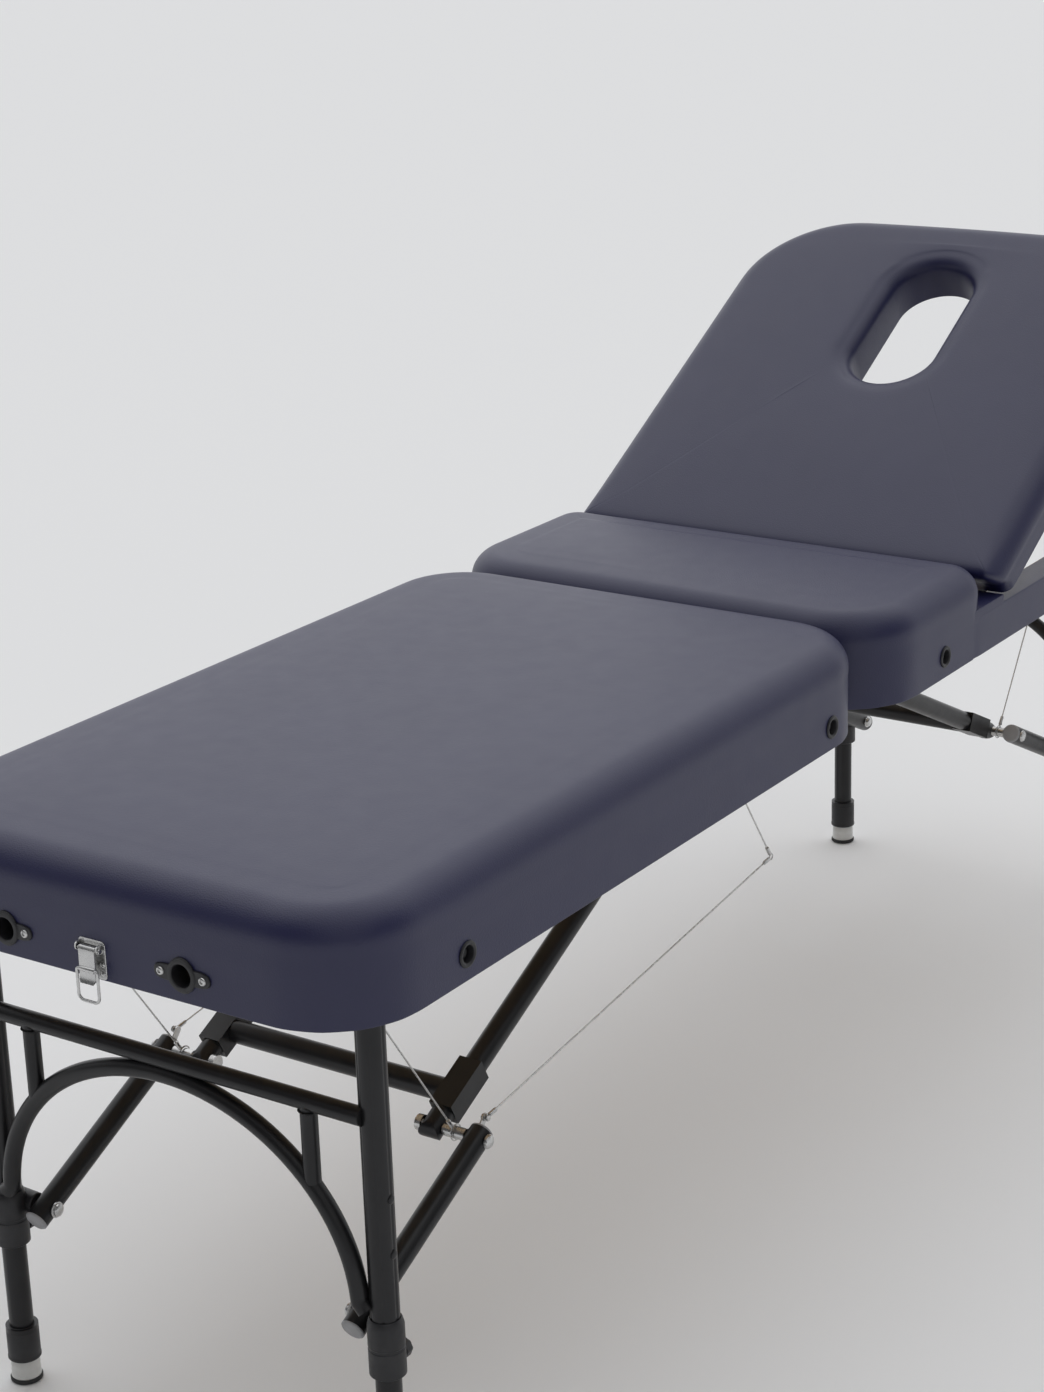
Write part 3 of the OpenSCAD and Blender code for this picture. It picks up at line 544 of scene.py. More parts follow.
def face_outwards(work):
    """Turns the faces the same way round, with the highest one facing up."""
    bmesh.ops.recalc_face_normals(work, faces=work.faces)
    highest = max(work.faces, key=lambda f: f.calc_center_median().z)
    if highest.normal.z < 0:
        bmesh.ops.reverse_faces(work, faces=work.faces)


def drop_loose(work):
    loose = [v for v in work.verts if not v.link_faces]
    bmesh.ops.delete(work, geom=loose, context="VERTS")


def stuff(piece, held, pressure=3.5, cap=6.0):
    """Cloth simulation: air pressure swells the shell, and each point moves by at most cap."""
    mesh = piece.data
    count = len(mesh.vertices)
    rest = np.zeros(count * 3)
    mesh.vertices.foreach_get("co", rest)
    group = piece.vertex_groups.new(name="held")
    for index in range(count):
        group.add([index], float(held[index]), "REPLACE")
    cloth = piece.modifiers.new("stuffing", "CLOTH")
    settings = cloth.settings
    settings.quality = 5
    settings.mass = 0.35
    settings.tension_stiffness = 25
    settings.compression_stiffness = 25
    settings.shear_stiffness = 12
    settings.bending_stiffness = 4
    settings.use_pressure = True
    settings.uniform_pressure_force = pressure
    settings.vertex_group_mass = "held"
    settings.effector_weights.gravity = 0
    cloth.collision_settings.use_collision = False
    frames = 20
    cloth.point_cache.frame_end = frames
    scene = bpy.context.scene
    for step in range(1, frames + 1):
        scene.frame_set(step)
    swollen = piece.evaluated_get(bpy.context.evaluated_depsgraph_get())
    moved = np.zeros(count * 3)
    swollen.data.vertices.foreach_get("co", moved)
    scene.frame_set(1)
    piece.modifiers.remove(cloth)
    piece.vertex_groups.remove(group)
    shift = (moved - rest).reshape(-1, 3)
    length = np.linalg.norm(shift, axis=1, keepdims=True)
    limit = cap * MM
    shift *= np.minimum(1.0, limit / np.maximum(length, 1e-9))
    mesh.vertices.foreach_set("co", (rest.reshape(-1, 3) + shift).ravel())
    mesh.update()


def even_top(piece, low, rounds=16):
    """Smooths the heights of the upper face, and leaves its outline alone."""
    nearly_level = 0.985

    def smooth(work):
        work.normal_update()
        top = [v for v in work.verts if v.co.z > low * MM and v.normal.z > nearly_level]
        for _ in range(rounds):
            bmesh.ops.smooth_vert(work, verts=top, factor=0.5,
                                  use_axis_x=False, use_axis_y=False, use_axis_z=True)

    edit_mesh(piece.data, smooth)


def apply_modifiers(piece):
    depsgraph = bpy.context.evaluated_depsgraph_get()
    made = bpy.data.meshes.new_from_object(piece.evaluated_get(depsgraph))
    piece.modifiers.clear()
    piece.data = made
    return made


def finish_soft(piece, thickness=1.0):
    """One subdivision, then a thickness of vinyl on the inside."""
    smooth = piece.modifiers.new("smooth", "SUBSURF")
    smooth.levels = 1
    smooth.render_levels = 1
    shell = piece.modifiers.new("vinyl", "SOLIDIFY")
    shell.thickness = thickness * MM
    shell.offset = -1
    shell.use_even_offset = True
    smooth_shading(apply_modifiers(piece), SMOOTH_EDGE_DEG)


def punch(piece, bores):
    """Cuts round holes, given as (place, axis, radius), through the vinyl."""
    drills = Shape()
    for place, axis, radius in bores:
        drills.lathe(place, axis, [(-7, radius), (7, radius)], 44)
    mesh = bpy.data.meshes.new("drills")
    mesh.from_pydata([v * MM for v in drills.verts], [], drills.faces)
    cutter = new_object("drills", mesh)
    cut = piece.modifiers.new("bores", "BOOLEAN")
    cut.object = cutter
    cut.operation = "DIFFERENCE"
    cut.solver = "EXACT"
    made = apply_modifiers(piece)
    bpy.data.objects.remove(cutter)
    made.set_sharp_from_angle(angle=math.radians(SMOOTH_EDGE_DEG))


def plug_places(half):
    """Middle of each side plug of one half, on the face of the rail."""
    low, high = box_mm(f"{half}_side_plugs")
    z = (low.z + high.z) / 2
    return [(x, across * (high.y - 2.5), z) for x in (low.x + 13, high.x - 13) for across in (1, -1)]


def plug_bores(half, first, last):
    return [(place, (0, 1, 0), 10.0) for place in plug_places(half) if first < place[0] < last]


def socket_places():
    """Middle of each face cradle socket, on the face of the end rail."""
    low, high = box_mm("face_cradle_sockets")
    mounts = [m for m in frame["record"]["mounts"] if m["name"].startswith("face_cradle_socket")]
    return [(low.x + 2.5, m["pos_m"][1] / MM, (low.z + high.z) / 2) for m in mounts]


def gathers(x, y, z, centre, radius, bottom, depth=0.5):
    """Small pleats where the vinyl is pulled under a corner, fading out upwards."""
    pleats, fade_height = 16, 34
    angle = math.atan2(y - centre[1], x - centre[0])
    fade = max(0.0, 1 - (z - bottom) / fade_height)
    return 1 + depth * fade * fade * math.sin(pleats * angle) / radius


def rectangular_pad(name, plan, radii, counts, bottom, top, wanted=None):
    """Pad with a skirt down its sides, filled on top with a grid.

    wanted tells from the middle of a face whether that face is made."""
    x0, x1, half_width = plan
    r0, r1 = radii
    hem, rise, gathered_radius = 28, 3.2, 60
    profile = edge_profile(bottom, top, SIDE_RING_HEIGHTS, PAD_EDGE_RADIUS, hem)
    verts = []
    columns = len(pad_plan(x0, x1, half_width, r0, r1, 0, counts))
    for inset, z in profile:
        for x, y in pad_plan(x0, x1, half_width, r0, r1, inset, counts):
            lift = crown(x, y, plan, rise) if z > top - 1 else 0
            for cx, r in ((x0 + r0, r0), (x1 - r1, r1)):
                beyond = (x < cx) if cx == x0 + r0 else (x > cx)
                if beyond and abs(y) > half_width - r and r > gathered_radius:
                    cy = math.copysign(half_width - r, y)
                    scale = gathers(x, y, z, (cx, cy), r, bottom)
                    x, y = cx + (x - cx) * scale, cy + (y - cy) * scale
            verts.append((x, y, z + lift))
    faces = band_faces(range(len(profile) - 1), len(profile), columns)
    along, _, high, arc0, arc1 = counts
    first = along + arc0 // 2 + arc1 // 2
    second = high + arc1
    last = (len(profile) - 1) * columns
    loop = [verts[last + k][:2] for k in range(columns)]
    grid = coons(loop, first, second)
    index = {}
    for i in range(first + 1):
        for j in range(second + 1):
            if j == 0:
                index[i, j] = last + i
            elif i == first:
                index[i, j] = last + first + j
            elif j == second:
                index[i, j] = last + first + second + (first - i)
            elif i == 0:
                index[i, j] = last + 2 * first + second + (second - j)
            else:
                x, y = grid[i, j]
                index[i, j] = len(verts)
                verts.append((x, y, top + 0.6 + crown(x, y, plan, rise)))
    faces += [(index[i, j], index[i + 1, j], index[i + 1, j + 1], index[i, j + 1])
              for i in range(first) for j in range(second)]
    if wanted:
        faces = [f for f in faces if wanted(sum((Vector(verts[k]) for k in f), Vector()) / len(f))]
    piece = soft_object(name, verts, faces)
    edit_mesh(piece.data, drop_loose)
    edit_mesh(piece.data, face_outwards)
    return piece


def held_weights(piece, low, x_limit=None):
    """Skirt held fast, top held a little so that it swells evenly."""
    weights = []
    for vertex in piece.data.vertices:
        x, _, z = vertex.co / MM
        if z < low:
            weights.append(1.0)
        elif x_limit and x_limit(x):
            weights.append(0.9)
        else:
            weights.append(0.25)
    return weights


def make_foot_pad():
    low, high = box_mm("foot_cover")
    plan = (low.x, high.x, high.y)
    counts = (62, 34, 34, 12, 12)
    piece = rectangular_pad("foot_pad", plan, (PAD_CORNER, PAD_CORNER), counts, low.z, high.z - 1)
    stuff(piece, held_weights(piece, 600))
    even_top(piece, high.z - 2)
    finish_soft(piece)
    punch(piece, [(place, (1, 0, 0), 12.6) for place in socket_places()] + plug_bores("foot", -900, 0))
    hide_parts("foot_cover", "foot_foam")
    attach(piece, "foot_frame")


def make_fixed_pad():
    cover_low, cover_high = box_mm("head_cover")
    end = box_mm("head_foam")[1].x + VINYL_SKIN
    plan = (cover_low.x, end, cover_high.y)
    counts = (13, 36, 44, 16, 8)
    inner_corner = 40

    def wanted(centre):
        return centre.z > 601 or centre.x < end - SKIRT_STOP

    piece = rectangular_pad("fixed_pad", plan, (PAD_CORNER, inner_corner), counts,
                            cover_low.z, cover_high.z - 1, wanted)
    stuff(piece, held_weights(piece, 600, lambda x: x > end - 8))
    even_top(piece, cover_high.z - 2)
    finish_soft(piece)
    punch(piece, plug_bores("head", 0, 300))
    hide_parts("head_cover", "head_foam")
    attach(piece, "head_frame")


def make_rail_wrap():
    """Vinyl round the bare rails of the backrest half, from the fixed pad to the end and back."""
    low, high = box_mm("head_cover")
    rail_top = box_mm("head_side_rails")[1].z
    start = box_mm("head_foam")[1].x + VINYL_SKIN - SKIRT_STOP
    counts = (70, 34, 34, 12, 12)
    profile = [(28, low.z - 0.1), (16, low.z - 0.1), (6, low.z - 0.1), (2.6, low.z - 0.2),
               (0.9, low.z - 0.35), (0, low.z - 0.3), (-0.35, low.z + 0.4), (-0.35, low.z + 2.2)]
    profile += [(-0.3, z) for z in (*SIDE_RING_HEIGHTS[:4], 597.5)]
    profile += [(-0.25, rail_top - 0.9), (0.1, rail_top - 0.1), (1.0, rail_top + 0.1)]
    profile += [(inset, rail_top + 0.12) for inset in (3, 10, 20, 36.6)]
    rings = []
    for inset, z in profile:
        ring = []
        for x, y in pad_plan(low.x, high.x, high.y, PAD_CORNER, PAD_CORNER, inset, counts):
            tucked = 0.75 if x < start + 6 else 0
            ring.append((x, y - math.copysign(tucked, y), z + tucked / 2 * (z < 551)))
        rings.append(ring)
    outer = rings[8]
    keep = [k for k, point in enumerate(outer) if point[0] >= start - 16]
    first = next(k for k in keep if k - 1 not in keep)
    strip = []
    k = first
    while k in keep:
        strip.append(k)
        k = (k + 1) % len(outer)
    verts = [rings[i][k] for i in range(len(rings)) for k in strip]
    width = len(strip)
    faces = []
    for i in range(len(rings) - 1):
        a, b = i * width, (i + 1) * width
        faces += [(a + k, a + k + 1, b + k + 1, b + k) for k in range(width - 1)]
    piece = soft_object("rail_wrap", verts, faces)
    edit_mesh(piece.data, face_outwards)
    finish_soft(piece, 0.8)
    punch(piece, plug_bores("head", 300, 900))
    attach(piece, "head_frame")


def make_deck_edge_wrap():
    """Vinyl strip over the deck's bare end, between the fixed pad and the backrest hinge."""
    low, high = box_mm("head_deck")
    start = box_mm("head_foam")[1].x - SKIRT_STOP
    half, top, bottom = high.y + 1.3, high.z + 0.35, low.z - 6
    outer = [(half, bottom), (half, top - 1.2), (half - 0.3, top - 0.3), (half - 1.2, top)]
    outer += [(half * f, top) for f in (0.8, 0.5, 0.2)]
    outer += [(-y, z) for y, z in reversed(outer)]
    inner = [(y - math.copysign(0.3, y), z - 0.3) for y, z in reversed(outer)]
    shape = Shape()
    stations = (start, start + SKIRT_STOP, high.x + 0.5)
    shape.rings([[Vector((x, y, z)) for y, z in outer + inner] for x in stations])
    end = plane_at((high.x + 0.1, 0, (top + low.z) / 2), (0, 1, 0), (0, 0, 1))
    shape.prism(round_rect(2 * half - 1, top - low.z, 1.2), 0.6, end, 0.2)
    shape.build("deck_edge_wrap", VINYL, "head_frame", "vinyl")


# ---------- backrest ----------

HINGE = joint_mm("backrest_tilt")
RAISE = (Matrix.Translation(HINGE) @ Matrix.Rotation(-math.radians(BACKREST_REST_DEG), 4, "Y")
         @ Matrix.Translation(-HINGE))
NOSE = [(374, 600.2), (360, 600.2), (346.3, 600.2), (345.7, 600.7), (345.7, 602.5), (346.3, 607),
        (345, 616), (338, 622), (332, 630), (326.5, 639), (322, 647), (320.6, 652), (322.2, 656),
        (327, 658.8), (333, 660.2), (340, 661), (352, 661.4), (372, 661.6)]


def path_lengths(points):
    """Distance along the path to each of its points."""
    steps = np.linalg.norm(np.diff(points, axis=0), axis=1)
    return np.concatenate([[0], np.cumsum(steps)])


def along_polyline(points, fractions):
    points = np.array(points, float)
    steps = path_lengths(points)
    steps /= steps[-1]
    return np.stack([np.interp(fractions, steps, points[:, k]) for k in (0, 1)], axis=1)


def smoothstep(value):
    value = min(1.0, max(0.0, value))
    return value * value * (3 - 2 * value)


def hole_loop(centre, length, width, grow, angles):
    """Points of the oval hole, grown outwards, in the given directions from its centre."""
    r = width / 2 + grow
    flat = (length - width) / 2
    points = []
    for angle in angles:
        c, s = math.cos(angle), math.sin(angle)
        straight = r / abs(s) if abs(s) > 1e-9 else 1e9
        if abs(straight * c) <= flat:
            reach = straight
        else:
            mid = math.copysign(flat, c)
            reach = mid * c + math.sqrt(max(0.0, r * r - (mid * s) ** 2))
        points.append((centre + reach * c, reach * s))
    return points


def make_backrest():
    """Cushion drawn flat, with a nose over the hinge and an oval hole, then raised to its rest angle."""
    end = 968.0
    half_width = box_mm("backrest_cover")[1].y
    x0 = 314.75
    near_corner, far_corner = 15, 145
    board, top, rise = 600.3, 661.0, 3.0
    counts = (44, 46, 30, 6, 14)
    profile = edge_profile(board, top, [606, 612, 619, 626], 32, 26, 0.12)
    lengths = path_lengths(np.array(profile))
    nose = along_polyline(NOSE, lengths / lengths[-1])
    reach = 80.0
    bow_depth, bow_length = 8, 170
    plan = (x0, end, half_width)
    verts = []
    columns = len(pad_plan(x0, end, half_width, near_corner, far_corner, 0, counts))
    for (inset, z), (nose_x, nose_z) in zip(profile, nose):
        for x, y in pad_plan(x0, end, half_width, near_corner, far_corner, inset, counts):
            share = smoothstep(1 - (x - x0 - inset) / reach)
            bow = -bow_depth * smoothstep((x - end + bow_length) / bow_length) * (y / half_width) ** 2
            lift = crown(x, y, plan, rise) * (1 - share) if z > top - 1 else 0
            verts.append((x + (nose_x - x0 - inset) * share + bow, y, z + (nose_z - z) * share + lift))
    last = [verts[(len(profile) - 1) * columns + k] for k in range(columns)]
    centre, length, width = 757.0, 240.0, 115.0
    angles = [math.atan2(y, x - centre) for x, y, _ in last]
    edge = 17.0
    hole_top = hole_loop(centre, length, width, edge + 6, angles)
    spans = 13
    flat = (length - width) / 2
    for k in range(1, spans + 1):
        share = k / spans
        for (x, y, z), (hx, hy) in zip(last, hole_top):
            px, py = x + (hx - x) * share, y + (hy - y) * share
            near = smoothstep(1 - (px - x0 - 54) / reach)
            full = top + 0.6 + crown(px, py, plan, rise) * (1 - near)
            away = math.hypot(max(0.0, abs(px - centre) - flat), py) - width / 2 - edge
            dip = 1.2 * (1 - smoothstep(away / 70)) * smoothstep(share)
            verts.append((px, py, z + (full - z) * smoothstep(share * 3) - dip))
    quarter = [math.pi / 2 * k / 6 for k in range(7)]
    wall = [(edge - edge * math.sin(angle), top - 1 - edge + edge * math.cos(angle)) for angle in quarter]
    wall += [(-0.4, 636), (-0.6, 626), (-0.4, 616), (0, 607), (0.2, 602), (0.35, 600.6), (0.9, 600.2),
             (3, 600.2), (6, 600.22), (16, 600.24)]
    for grow, z in wall:
        verts += [(hx, hy, z) for hx, hy in hole_loop(centre, length, width, grow, angles)]
    rings_made = len(verts) // columns
    faces = band_faces(range(rings_made - 1), rings_made, columns)
    piece = soft_object("backrest_pad", verts, faces)
    edit_mesh(piece.data, face_outwards)
    places = [vertex.co / MM for vertex in piece.data.vertices]
    held = [1.0 if place.z < 609 or place.x < 350 else 0.3 for place in places]
    stuff(piece, held, cap=5.0)
    even_top(piece, top - 1)
    finish_soft(piece)
    turn = Matrix.Scale(MM, 4) @ RAISE @ Matrix.Scale(1 / MM, 4)
    piece.data.transform(turn)
    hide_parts("backrest_cover", "backrest_foam")
    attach(piece, "backrest")


# ---------- legs ----------

def fluted(angle):
    """Radius factor of a tube with shallow grooves along it."""
    return 1 - 0.06 * max(0.0, math.cos(6 * angle)) ** 5


def make_leg_frame(half):
    body = f"{half}_leg_frame"
    tube_low, tube_high = box_mm(f"{half}_outer_legs")
    pivot = joint_mm(f"{half}_lower_link_fold")
    link_high = box_mm(f"{half}_lower_links")[1].y
    legs, collars, studs, rivets = Shape(), Shape(), Shape(), Shape()
    radius = 14.3
    collar_end = box_mm(f"{half}_leg_brackets")[1].z
    for side, across in SIDES:
        axis = middle_mm(f"{half}_{side}_inner_leg")
        x, y = axis.x, axis.y
        bottom, top = tube_low.z, tube_high.z
        legs.lathe((x, y, 0), (0, 0, 1), [
            (bottom, 12.8), (bottom, radius - 0.5), (bottom + 0.5, radius), (top - 0.6, radius),
            (top, radius - 0.6), (top, 12.9), (top - 4, 12.8), (top - 5, 0.2)], 96, False, fluted)
        collars.lathe((x, y, 0), (0, 0, 1), [
            (bottom - 0.4, 13.2), (bottom - 0.4, 16.6), (bottom + 0.8, 18), (bottom + 27, 18),
            (bottom + 28, 17.3), (bottom + 30, 17.3), (bottom + 31, 18), (collar_end - 8, 18),
            (collar_end - 2, 16.4), (collar_end, 15.2), (collar_end, 14.5)], 48, False)
        inward = -across
        link_y = across * (link_high - 12.5)
        outer_face = link_y + across * 13.5
        boss_length = abs(y - outer_face)
        collars.lathe((pivot.x, y, pivot.z), (0, inward, 0), [
            (0, 11.6), (boss_length - 1, 11), (boss_length, 10.2), (boss_length, 4)], 32, False)
        bolt_out = link_y + inward * 13.2
        studs.lathe((pivot.x, bolt_out, pivot.z), (0, inward, 0), [
            (0, 8.5), (0.9, 8.5), (1.2, 8), (1.2, 6.9),
            (3.6, 6.6), (4.6, 5.2), (5.0, 2.6), (5.1, 0.2)], 28, False)
        if half == "foot":
            for z in (348, 291):
                rivets.lathe((x, y + across * 13.6, z), (0, across, 0), [
                    (0, 4.6), (0.9, 4.6), (1.5, 3.8), (1.9, 2.2), (2.0, 0.2)], 20, False)
    legs.build(f"{half}_fluted_legs", TUBE, body, "black_tube", [f"{half}_outer_legs"])
    collars.build(f"{half}_leg_collars", BLACK, body, "black_plastic", [f"{half}_leg_brackets"])
    studs.build(f"{half}_link_studs", STEEL, body, "bright_steel")
    if rivets.verts:
        rivets.build(f"{half}_leg_rivets", TUBE, body, "black_tube")
    make_arch(half, body)


def make_arch(half, body):
    """Arched bar between the legs, and the two short struts up to the straight bar."""
    low, high = box_mm(f"{half}_arch")
    bar_low, bar_high = box_mm(f"{half}_cross_bar")
    x = (high.x + low.x) / 2
    bar_z = (bar_low.z + bar_high.z) / 2
    bar_radius = (bar_high.z - bar_low.z) / 2
    leg_y = middle_mm(f"{half}_left_inner_leg").y
    semi = leg_y - 19
    base, rise = 230.0, 187.0
    into_leg = 7
    shape = Shape()
    steps = 72
    angles = [math.pi * k / steps for k in range(steps + 1)]
    points = [(x, -semi * math.cos(angle), base + rise * math.sin(angle)) for angle in angles]
    points[0] = (x, -semi - into_leg, base)
    points[-1] = (x, semi + into_leg, base)
    shape.tube(points, (high.x - low.x) / 2, 24)
    strut_y = leg_y - (67 if half == "foot" else 55)
    foot_z = base + rise * math.sqrt(1 - (strut_y / semi) ** 2)
    strut_radius = 8.5
    weld = [(z, strut_radius + bulge) for z, bulge in (
        (-1.6, 0), (-1.2, 0.5), (-0.4, 1.3), (0.6, 2.0), (1.6, 0))]
    for across in (1, -1):
        shape.lathe((x, across * strut_y, 0), (0, 0, 1), [
            (foot_z - 1, strut_radius), (bar_z, strut_radius)], 32)
        shape.lathe((x, across * strut_y, bar_z - bar_radius), (0, 0, 1), weld, 32, False)
    shape.build(f"{half}_arch_bar", TUBE, body, "black_tube", [f"{half}_arch"], 40)


def make_feet(half):
    """Pale tip with a black ferrule above it, on each leg, and under the tip a wider dark disc on the floor:
    painted shadow beneath the foot.
    """
    for side, _ in SIDES:
        name = f"{half}_{side}"
        body = f"{name}_inner_leg"
        axis = middle_mm(f"{name}_tip")
        top = box_mm(f"{name}_tip")[1].z
        ferrule_top = top + 38
        floor_point, upwards = (axis.x, axis.y, 0), (0, 0, 1)
        tip, pad, ring = Shape(), Shape(), Shape()
        tip.lathe(floor_point, upwards, [
            (5.6, 13), (5.6, 15.6), (7, 16), (8, 15.2), (11, 15), (12, 15.5), (13, 15.5), (14, 15),
            (17, 14.9), (18, 15.3), (19, 15.3), (20, 14.9), (top - 1, 14.8), (top, 14.2), (top, 8)], 44)
        tip.build(f"{name}_tip_sleeve", PALE, body, "pale_rubber", [f"{name}_tip"])
        # dark disc round the bottom of the tip, wider than the tip: painted shadow beneath the foot
        pad.lathe(floor_point, upwards, [
            (0, 14.6), (0.5, 16), (1.4, 16.9), (4.2, 17), (5.4, 16.4), (5.8, 15.2), (5.8, 10)], 44)
        pad.build(f"{name}_foot_shadow_disc", FOOT_SHADOW_BLACK, body, "pale_rubber")
        ring.lathe(floor_point, upwards, [
            (top - 0.1, 15), (top - 0.1, 16.9), (top + 0.6, 17.5), (top + 3, 17.5),
            (top + 3.6, 17.1), (ferrule_top - 6, 17.1), (ferrule_top - 1, 15.6),
            (ferrule_top + 0.3, 13.6), (ferrule_top + 0.3, 12.8)], 44, False)
        ring.build(f"{name}_leg_ferrule", BLACK, body, "black_plastic")


def lobed(angle):
    """Radius factor of a thumb screw's head with eight lobes."""
    return 1 - 0.07 * (0.5 - 0.5 * math.cos(8 * angle))


def make_knobs(half, sign):
    """Thumb screws on the legs, with their heads towards the middle of the table."""
    inward = -sign
    head_length = 11
    for side, _ in SIDES:
        name = f"{half}_{side}_knob"
        low, high = box_mm(name)
        middle = (low + high) / 2
        stem_end, tip = (low.x, high.x) if inward > 0 else (high.x, low.x)
        shape = Shape()
        head_base = tip - inward * head_length
        shape.lathe((head_base, middle.y, middle.z), (inward, 0, 0), [
            (0, 5), (0, 9.2), (0.8, 10), (7.4, 10), (9.6, 9.2), (10.6, 7), (head_length, 3.2),
            (head_length, 0.2)], 72, False, lobed)
        shape.lathe((head_base - inward * 1, middle.y, middle.z), (inward, 0, 0), [
            (-2.4, 3), (-2.4, 6), (1.2, 6), (1.2, 4)], 32, False)
        shape.tube([(stem_end, middle.y, middle.z), (head_base, middle.y, middle.z)], 3, 20)
        shape.build(f"{name}_grip", BLACK, name, "black_plastic", [name])


# ---------- braces ----------

def make_brace_details(half, sign):
    """End caps, knee bolts and, on the foot half, the lugs of the inner stays."""
    knee = middle_mm(f"{half}_knee_bolts")
    studs = joint_mm(f"{half}_lower_link_fold")
    pivot = joint_mm(f"{half}_upper_link_fold")
    lower_y = box_mm(f"{half}_lower_links")[1].y - 12.5
    upper_y = box_mm(f"{half}_upper_links")[1].y - 13.5
    down = Vector((studs.x - knee.x, 0, studs.z - knee.z))
    span = down.length
    down.normalize()
    up = Vector((pivot.x - knee.x, 0, pivot.z - knee.z))
    reach = up.length
    up.normalize()
    tube_face = 12.6
    caps, upper_caps, nuts, washers, lugs = (Shape() for _ in range(5))
    cap_profile = [(-6, 10.3), (0, 10.3), (0, 12.4), (1.4, 12.4), (2.8, 10.8), (3.2, 8), (3.3, 0.2)]
    for _, across in SIDES:
        at = Vector((knee.x, across * lower_y, knee.z))
        caps.lathe(at + down * (span + 18), down, cap_profile, 36, False)
        caps.lathe(at - down * 8, -down, cap_profile, 36, False)
        if half == "foot":
            eye = Vector((sign * 652.5, across * (lower_y - 3), 316.5))
            base = at - down * 6 + Vector((0, -across * 3, 0))
            reach_out = eye - base
            plate = plane_at((eye + base) / 2, reach_out, reach_out.cross(Vector((0, 1, 0))))
            lugs.prism(round_rect(reach_out.length + 9, 8.4, 4), 1.8, plate, 0.3)
            lugs.lathe(eye, (0, across, 0), [
                (-1.6, 0.2), (-1.6, 3.2), (-0.6, 3.6), (0, 3.6), (0, 2),
                (5.4, 2), (5.4, 3.4), (6.4, 2.8), (6.6, 0.2)], 24, False)
        at = Vector((knee.x, across * upper_y, knee.z))
        upper_caps.lathe(at + up * (reach + 8), up, cap_profile, 36, False)
        face = at + Vector((0, -across * tube_face, 0))
        washers.lathe(face, (0, -across, 0), [(0, 4), (0, 8.6), (1.2, 8.6), (1.2, 4)], 32, False)
        nuts.lathe(face, (0, -across, 0), [
            (1.2, 7.2), (5.8, 7.2), (6.6, 6.2), (6.6, 4.4), (5.2, 4.2), (5.2, 0.2)], 6, False)
        outer = Vector((knee.x, across * (lower_y + tube_face), knee.z))
        nuts.lathe(outer, (0, across, 0), [
            (0, 7.6), (1.0, 7.6), (3.0, 6.4), (4.2, 3.6), (4.5, 0.2)], 28, False)
    if lugs.verts:
        lugs.build(f"{half}_stay_lugs", STEEL, f"{half}_lower_links", "bright_steel")
    # the end caps are black plastic; their grey colour is painted highlight
    caps.build(f"{half}_lower_link_caps", END_CAP_PAINTED_HIGHLIGHT, f"{half}_lower_links", "black_plastic")
    upper_caps.build(f"{half}_upper_link_caps", END_CAP_PAINTED_HIGHLIGHT, f"{half}_upper_links", "black_plastic")
    washers.build(f"{half}_knee_washers", STEEL, f"{half}_upper_links", "bright_steel")
    nuts.build(f"{half}_knee_nuts", STEEL, f"{half}_upper_links", "bright_steel")


def make_cables():
    """Steel stays between the frame and the braces: each run is two eye centres and their radii."""
    knee_high, rail_high, ring_high = 301, 545, 390
    wire_steps = 24
    routes = {
        "foot": [((-835, 176, rail_high), (-669, 176, knee_high), 3.2, 8.4),
                 ((-652.5, 202, 316.5), (-72, 202, ring_high), 3.2, 3.4),
                 ((-72, 202, ring_high), (-177, 202, rail_high), 3.4, 3.2)],
        "head": [((835, 145, rail_high), (669, 145, knee_high), 3.2, 8.4)],
    }
    for half, runs in routes.items():
        wires, eyes = Shape(), Shape()
        for across in (1, -1):
            for start, end, r0, r1 in runs:
                a = Vector((start[0], across * start[1], start[2]))
                b = Vector((end[0], across * end[1], end[2]))
                along = (b - a).normalized()
                first, last = a + along * r0, b - along * r1
                run = [first + (last - first) * k / wire_steps for k in range(wire_steps + 1)]
                wires.tube(run, 0.95, 10)
                for place, direction, r in ((a, along, r0), (b, -along, r1)):
                    wires.lathe(place + direction * r, direction, CRIMP, 20, False)
                    side = direction.cross(Vector((0, 1, 0))).normalized()
                    wires.tube([place + direction * r * math.cos(t) + side * r * math.sin(t)
                                for t in turns(24)], 0.8, 8, closed=True)
                    if place.z == rail_high:
                        eyes.lathe((place.x, place.y, 548.9), (0, 0, 1), [
                            (0, 2), (0, 5.2), (0.5, 5.6), (1.1, 5.6)], 24, False)
                        raised = place + Vector((0, 0, 0.6))
                        eyes.tube([raised + Vector((0, math.sin(t), math.cos(t))) * 3.2
                                   for t in turns(20)], 1.0, 8, closed=True)
        piece = wires.build(f"{half}_stay_wires", STEEL, f"{half}_frame", "bright_steel",
                            [f"{half}_cables"])
        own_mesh(piece)
        eyes.build(f"{half}_stay_eyes", STEEL, f"{half}_frame", "bright_steel")


# ---------- fittings of the frame ----------

def make_side_plugs():
    for half in ("foot", "head"):
        shape = Shape()
        for place in plug_places(half):
            shape.lathe(place, (0, math.copysign(1, place[1]), 0), [
                (-22, 8), (-22, 9.4), (-0.4, 9.6), (0.3, 12.4), (0.8, 13), (1.6, 12.8), (2.3, 12),
                (2.5, 11), (2.3, 9.8), (1.4, 8.6), (-1.6, 8.0), (-5.5, 7.6), (-5.6, 4.4), (-3.2, 4.0),
                (-2.9, 3.0), (-2.9, 0.2)], 44, False)
        shape.build(f"{half}_plug_rings", BLACK, f"{half}_frame", "black_plastic", [f"{half}_side_plugs"])


